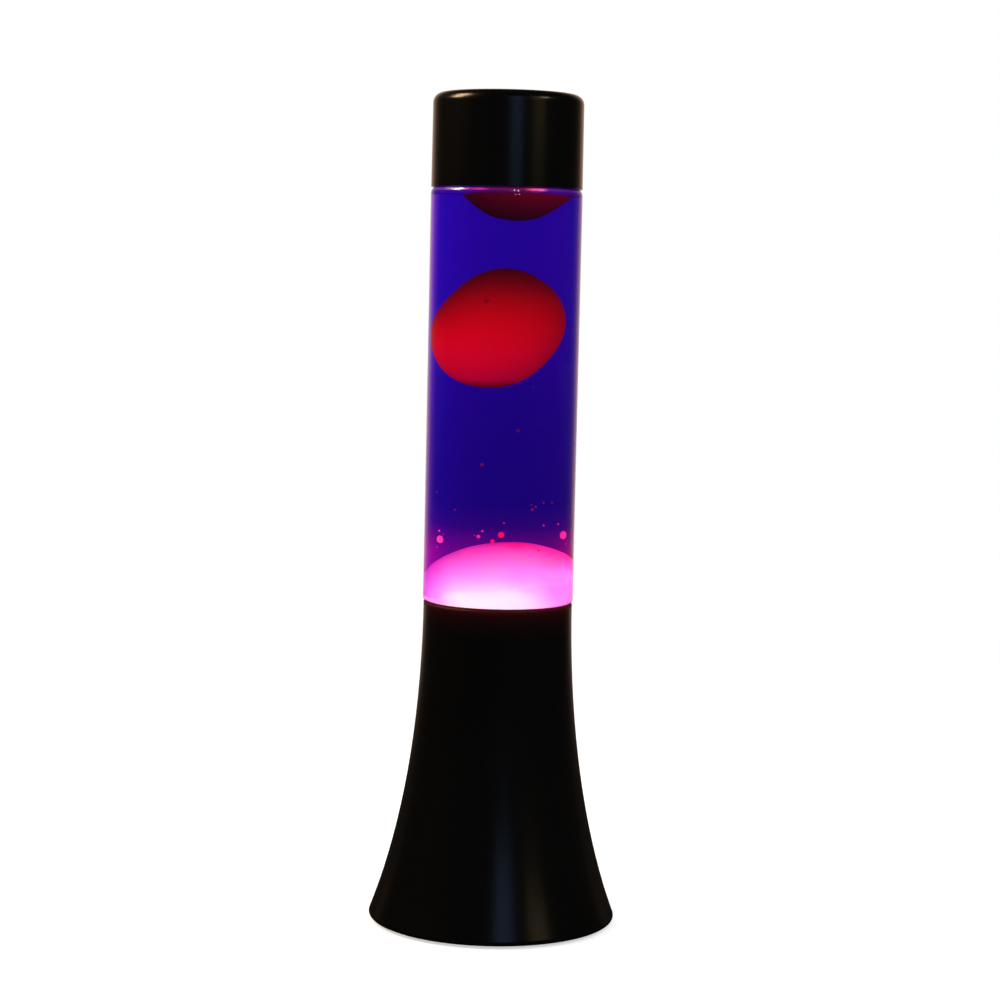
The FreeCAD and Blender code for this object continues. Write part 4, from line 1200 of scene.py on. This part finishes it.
# How the backdrop shows through the lamp, for rays bent from fully left to fully right.
# A ray that enters at the lamp's right edge leaves to the left.
SIDEWAYS = [
    (0.0, (0.85, 0.85, 0.85)),
    (0.079, (0.64, 0.62, 0.82)),
    (0.158, (0.36, 0.40, 0.78)),
    (0.237, (0.48, 0.6, 0.80)),
    (0.368, (0.80, 0.8, 0.90)),
    (0.5, (1.0, 1.0, 1.0)),
    (0.632, (0.90, 0.9, 1.03)),
    (0.763, (0.52, 0.7, 1.12)),
    (0.826, (0.62, 0.8, 1.18)),
    (0.874, (1.80, 2.1, 1.50)),
    (0.911, (3.00, 3.7, 1.75)),
    (0.951, (3.50, 4.2, 1.90)),
    (1.0, (3.60, 4.2, 1.95)),
]
ACROSS = 0.95  # sideways part of a direction at both ends of SIDEWAYS

FLOOR_RADIUS = 7.0


def white_floor():
    """Pale floor that keeps the soft shadow close by and is white further out."""
    look = Look("floor")
    length = look.add("VectorMath", operation="LENGTH")
    look.put(length.inputs[0], look.place)
    far = length.outputs["Value"]
    fade = look.span(far, 0.18, 0.9, smooth=True)

    # What kind of ray meets the floor
    rays = look.add("LightPath").outputs
    mirrored = look.calc("MINIMUM", rays["Glossy Depth"], 1.0)
    straight = look.calc("SUBTRACT", 1.0, mirrored)
    seen = look.calc("MAXIMUM", rays["Is Camera Ray"], rays["Is Transmission Ray"])
    seen = look.times(seen, straight)
    in_mirror = look.times(rays["Is Glossy Ray"], mirrored)
    through = look.times(rays["Is Transmission Ray"], straight)

    x, y, _ = look.axes()
    backdrop = look.ramp(look.span(look.calc("DIVIDE", y, far), -1.0, 1.0), BACKDROP)
    gloom = look.levels(look.span(far, 0.0, FLOOR_RADIUS), [
        (0.0, 0.30),
        (0.10, 0.40),
        (0.15, 0.55),
        (0.22, 0.60),
        (0.60, 0.72),
        (1.0, 0.86),
    ])
    across = look.span(look.calc("DIVIDE", x, far), -ACROSS, ACROSS)
    gloom = look.mix(1.0, gloom, look.ramp(across, SIDEWAYS), "MULTIPLY")

    glow = look.add("Emission")
    shown = look.mix(through, (1.0, 1.0, 1.0), gloom)
    look.put(glow.inputs["Color"], look.mix(in_mirror, shown, backdrop))
    near_glow = look.times(seen, look.span(fade, 0.0, 1.0, 0.56, 1.0))
    near_glow = look.calc("MAXIMUM", near_glow, through)
    far_glow = look.times(in_mirror, look.span(y, 0.3, 1.6, smooth=True))
    look.put(glow.inputs["Strength"], look.calc("MAXIMUM", near_glow, far_glow))

    matt = look.add("BsdfDiffuse")
    unlit = look.calc("MAXIMUM", look.times(seen, fade), through)
    pale = look.mix(unlit, (0.80, 0.80, 0.80), (0.0, 0.0, 0.0))
    look.put(matt.inputs["Color"], look.mix(in_mirror, pale, (0.015, 0.015, 0.015)))
    both = look.add("AddShader")
    look.tree.links.new(glow.outputs[0], both.inputs[0])
    look.tree.links.new(matt.outputs[0], both.inputs[1])
    look.tree.links.new(both.outputs[0], look.output.inputs["Surface"])
    look.tree.nodes.remove(look.surface)
    return look.material


ground = bmesh.new()
bmesh.ops.create_circle(ground, cap_ends=True, segments=96, radius=FLOOR_RADIUS)
floor_mesh = bpy.data.meshes.new("floor")
ground.to_mesh(floor_mesh)
ground.free()
floor_mesh.materials.append(white_floor())
floor = bpy.data.objects.new("floor", floor_mesh)
bpy.context.scene.collection.objects.link(floor)


def lamp(name, place, target, size, power, colour):
    """A flat lamp that isn't seen, neither straight nor through the glass."""
    light = bpy.data.lights.new(name, "AREA")
    light.shape = "RECTANGLE"
    light.size, light.size_y = size
    light.energy = power
    light.color = colour
    made = bpy.data.objects.new(name, light)
    bpy.context.scene.collection.objects.link(made)
    made.location = place
    made.rotation_euler = (Vector(target) - Vector(place)).to_track_quat("-Z", "Y").to_euler()
    made.visible_camera = False
    made.visible_transmission = False
    return made


lamp("window-left", (-0.725, -0.02, 0.815), (0, 0, 0.33), (0.30, 0.42), 6.5, (1.0, 0.66, 0.35))
fill = lamp("fill-right", (1.10, -0.90, 1.10), (0, 0, 0.20), (0.90, 0.90), 4.0, (0.97, 0.99, 1.0))
fill.visible_glossy = False
lamp("strip-front", (0.32, -1.42, 0.84), (0.06, 0, 0.84), (0.44, 0.96), 0.72, (0.34, 0.56, 1.0))
lamp("strip-right", (1.02, -0.95, 0.90), (0, 0, 0.90), (0.46, 0.96), 0.66, (1.0, 0.77, 0.38))
lamp("spot-right", (0.96, -0.54, 0.97), (0, 0, 0.33), (0.24, 0.22), 1.0, (1.0, 0.80, 0.50))


def studio():
    """White to the camera, the backdrop in mirrors and glass, and a soft grey light."""
    world = bpy.data.worlds.new("studio")
    bpy.context.scene.world = world
    world.use_nodes = True
    world.cycles.sampling_method = "NONE"
    sky = Nodes(world.node_tree, "Generated")
    x, y, z = sky.axes()
    shine = sky.ramp(sky.span(y, -1.0, 1.0), BACKDROP)
    through = sky.levels(sky.span(z, -0.06, 0.02), [(0.0, 0.80), (1.0, 1.0)])
    across = sky.span(x, -ACROSS, ACROSS)
    through = sky.mix(1.0, through, sky.ramp(across, SIDEWAYS), "MULTIPLY")

    rays = sky.add("LightPath").outputs
    mirrored = sky.calc("MINIMUM", rays["Glossy Depth"], 1.0)
    scattered = sky.calc("MINIMUM", rays["Diffuse Depth"], 1.0)
    clear = sky.calc("SUBTRACT", rays["Is Transmission Ray"], mirrored)
    soft = (0.60, 0.60, 0.61)
    shade = sky.mix(rays["Is Glossy Ray"], soft, shine)
    shade = sky.mix(sky.calc("MAXIMUM", clear, 0.0), shade, through)
    shade = sky.mix(scattered, shade, soft)
    shade = sky.mix(rays["Is Camera Ray"], shade, (1.0, 1.0, 1.0))
    light = sky.add("Background")
    sky.put(light.inputs["Color"], shade)
    sky.tree.links.new(light.outputs[0], sky.add("OutputWorld").inputs["Surface"])


studio()

# The photo's view: a long lens in front, at the height of the blob, looking slightly down
# and slightly rolled
CAMERA_LENS = 88.43
CAMERA_PLACE = (0.0, -0.9766, 0.256)
CAMERA_DOWN = math.radians(5.053)
CAMERA_ROLL = math.radians(1.277)

camera_data = bpy.data.cameras.new("camera")
camera_data.sensor_width = 36.0
camera_data.lens = CAMERA_LENS
camera = bpy.data.objects.new("camera", camera_data)
bpy.context.scene.collection.objects.link(camera)
pitch = Matrix.Rotation(math.radians(90) - CAMERA_DOWN, 4, "X")
roll = Matrix.Rotation(CAMERA_ROLL, 4, "Z")
camera.matrix_world = Matrix.Translation(CAMERA_PLACE) @ pitch @ roll
bpy.context.scene.camera = camera
bpy.context.scene.view_settings.view_transform = "Standard"
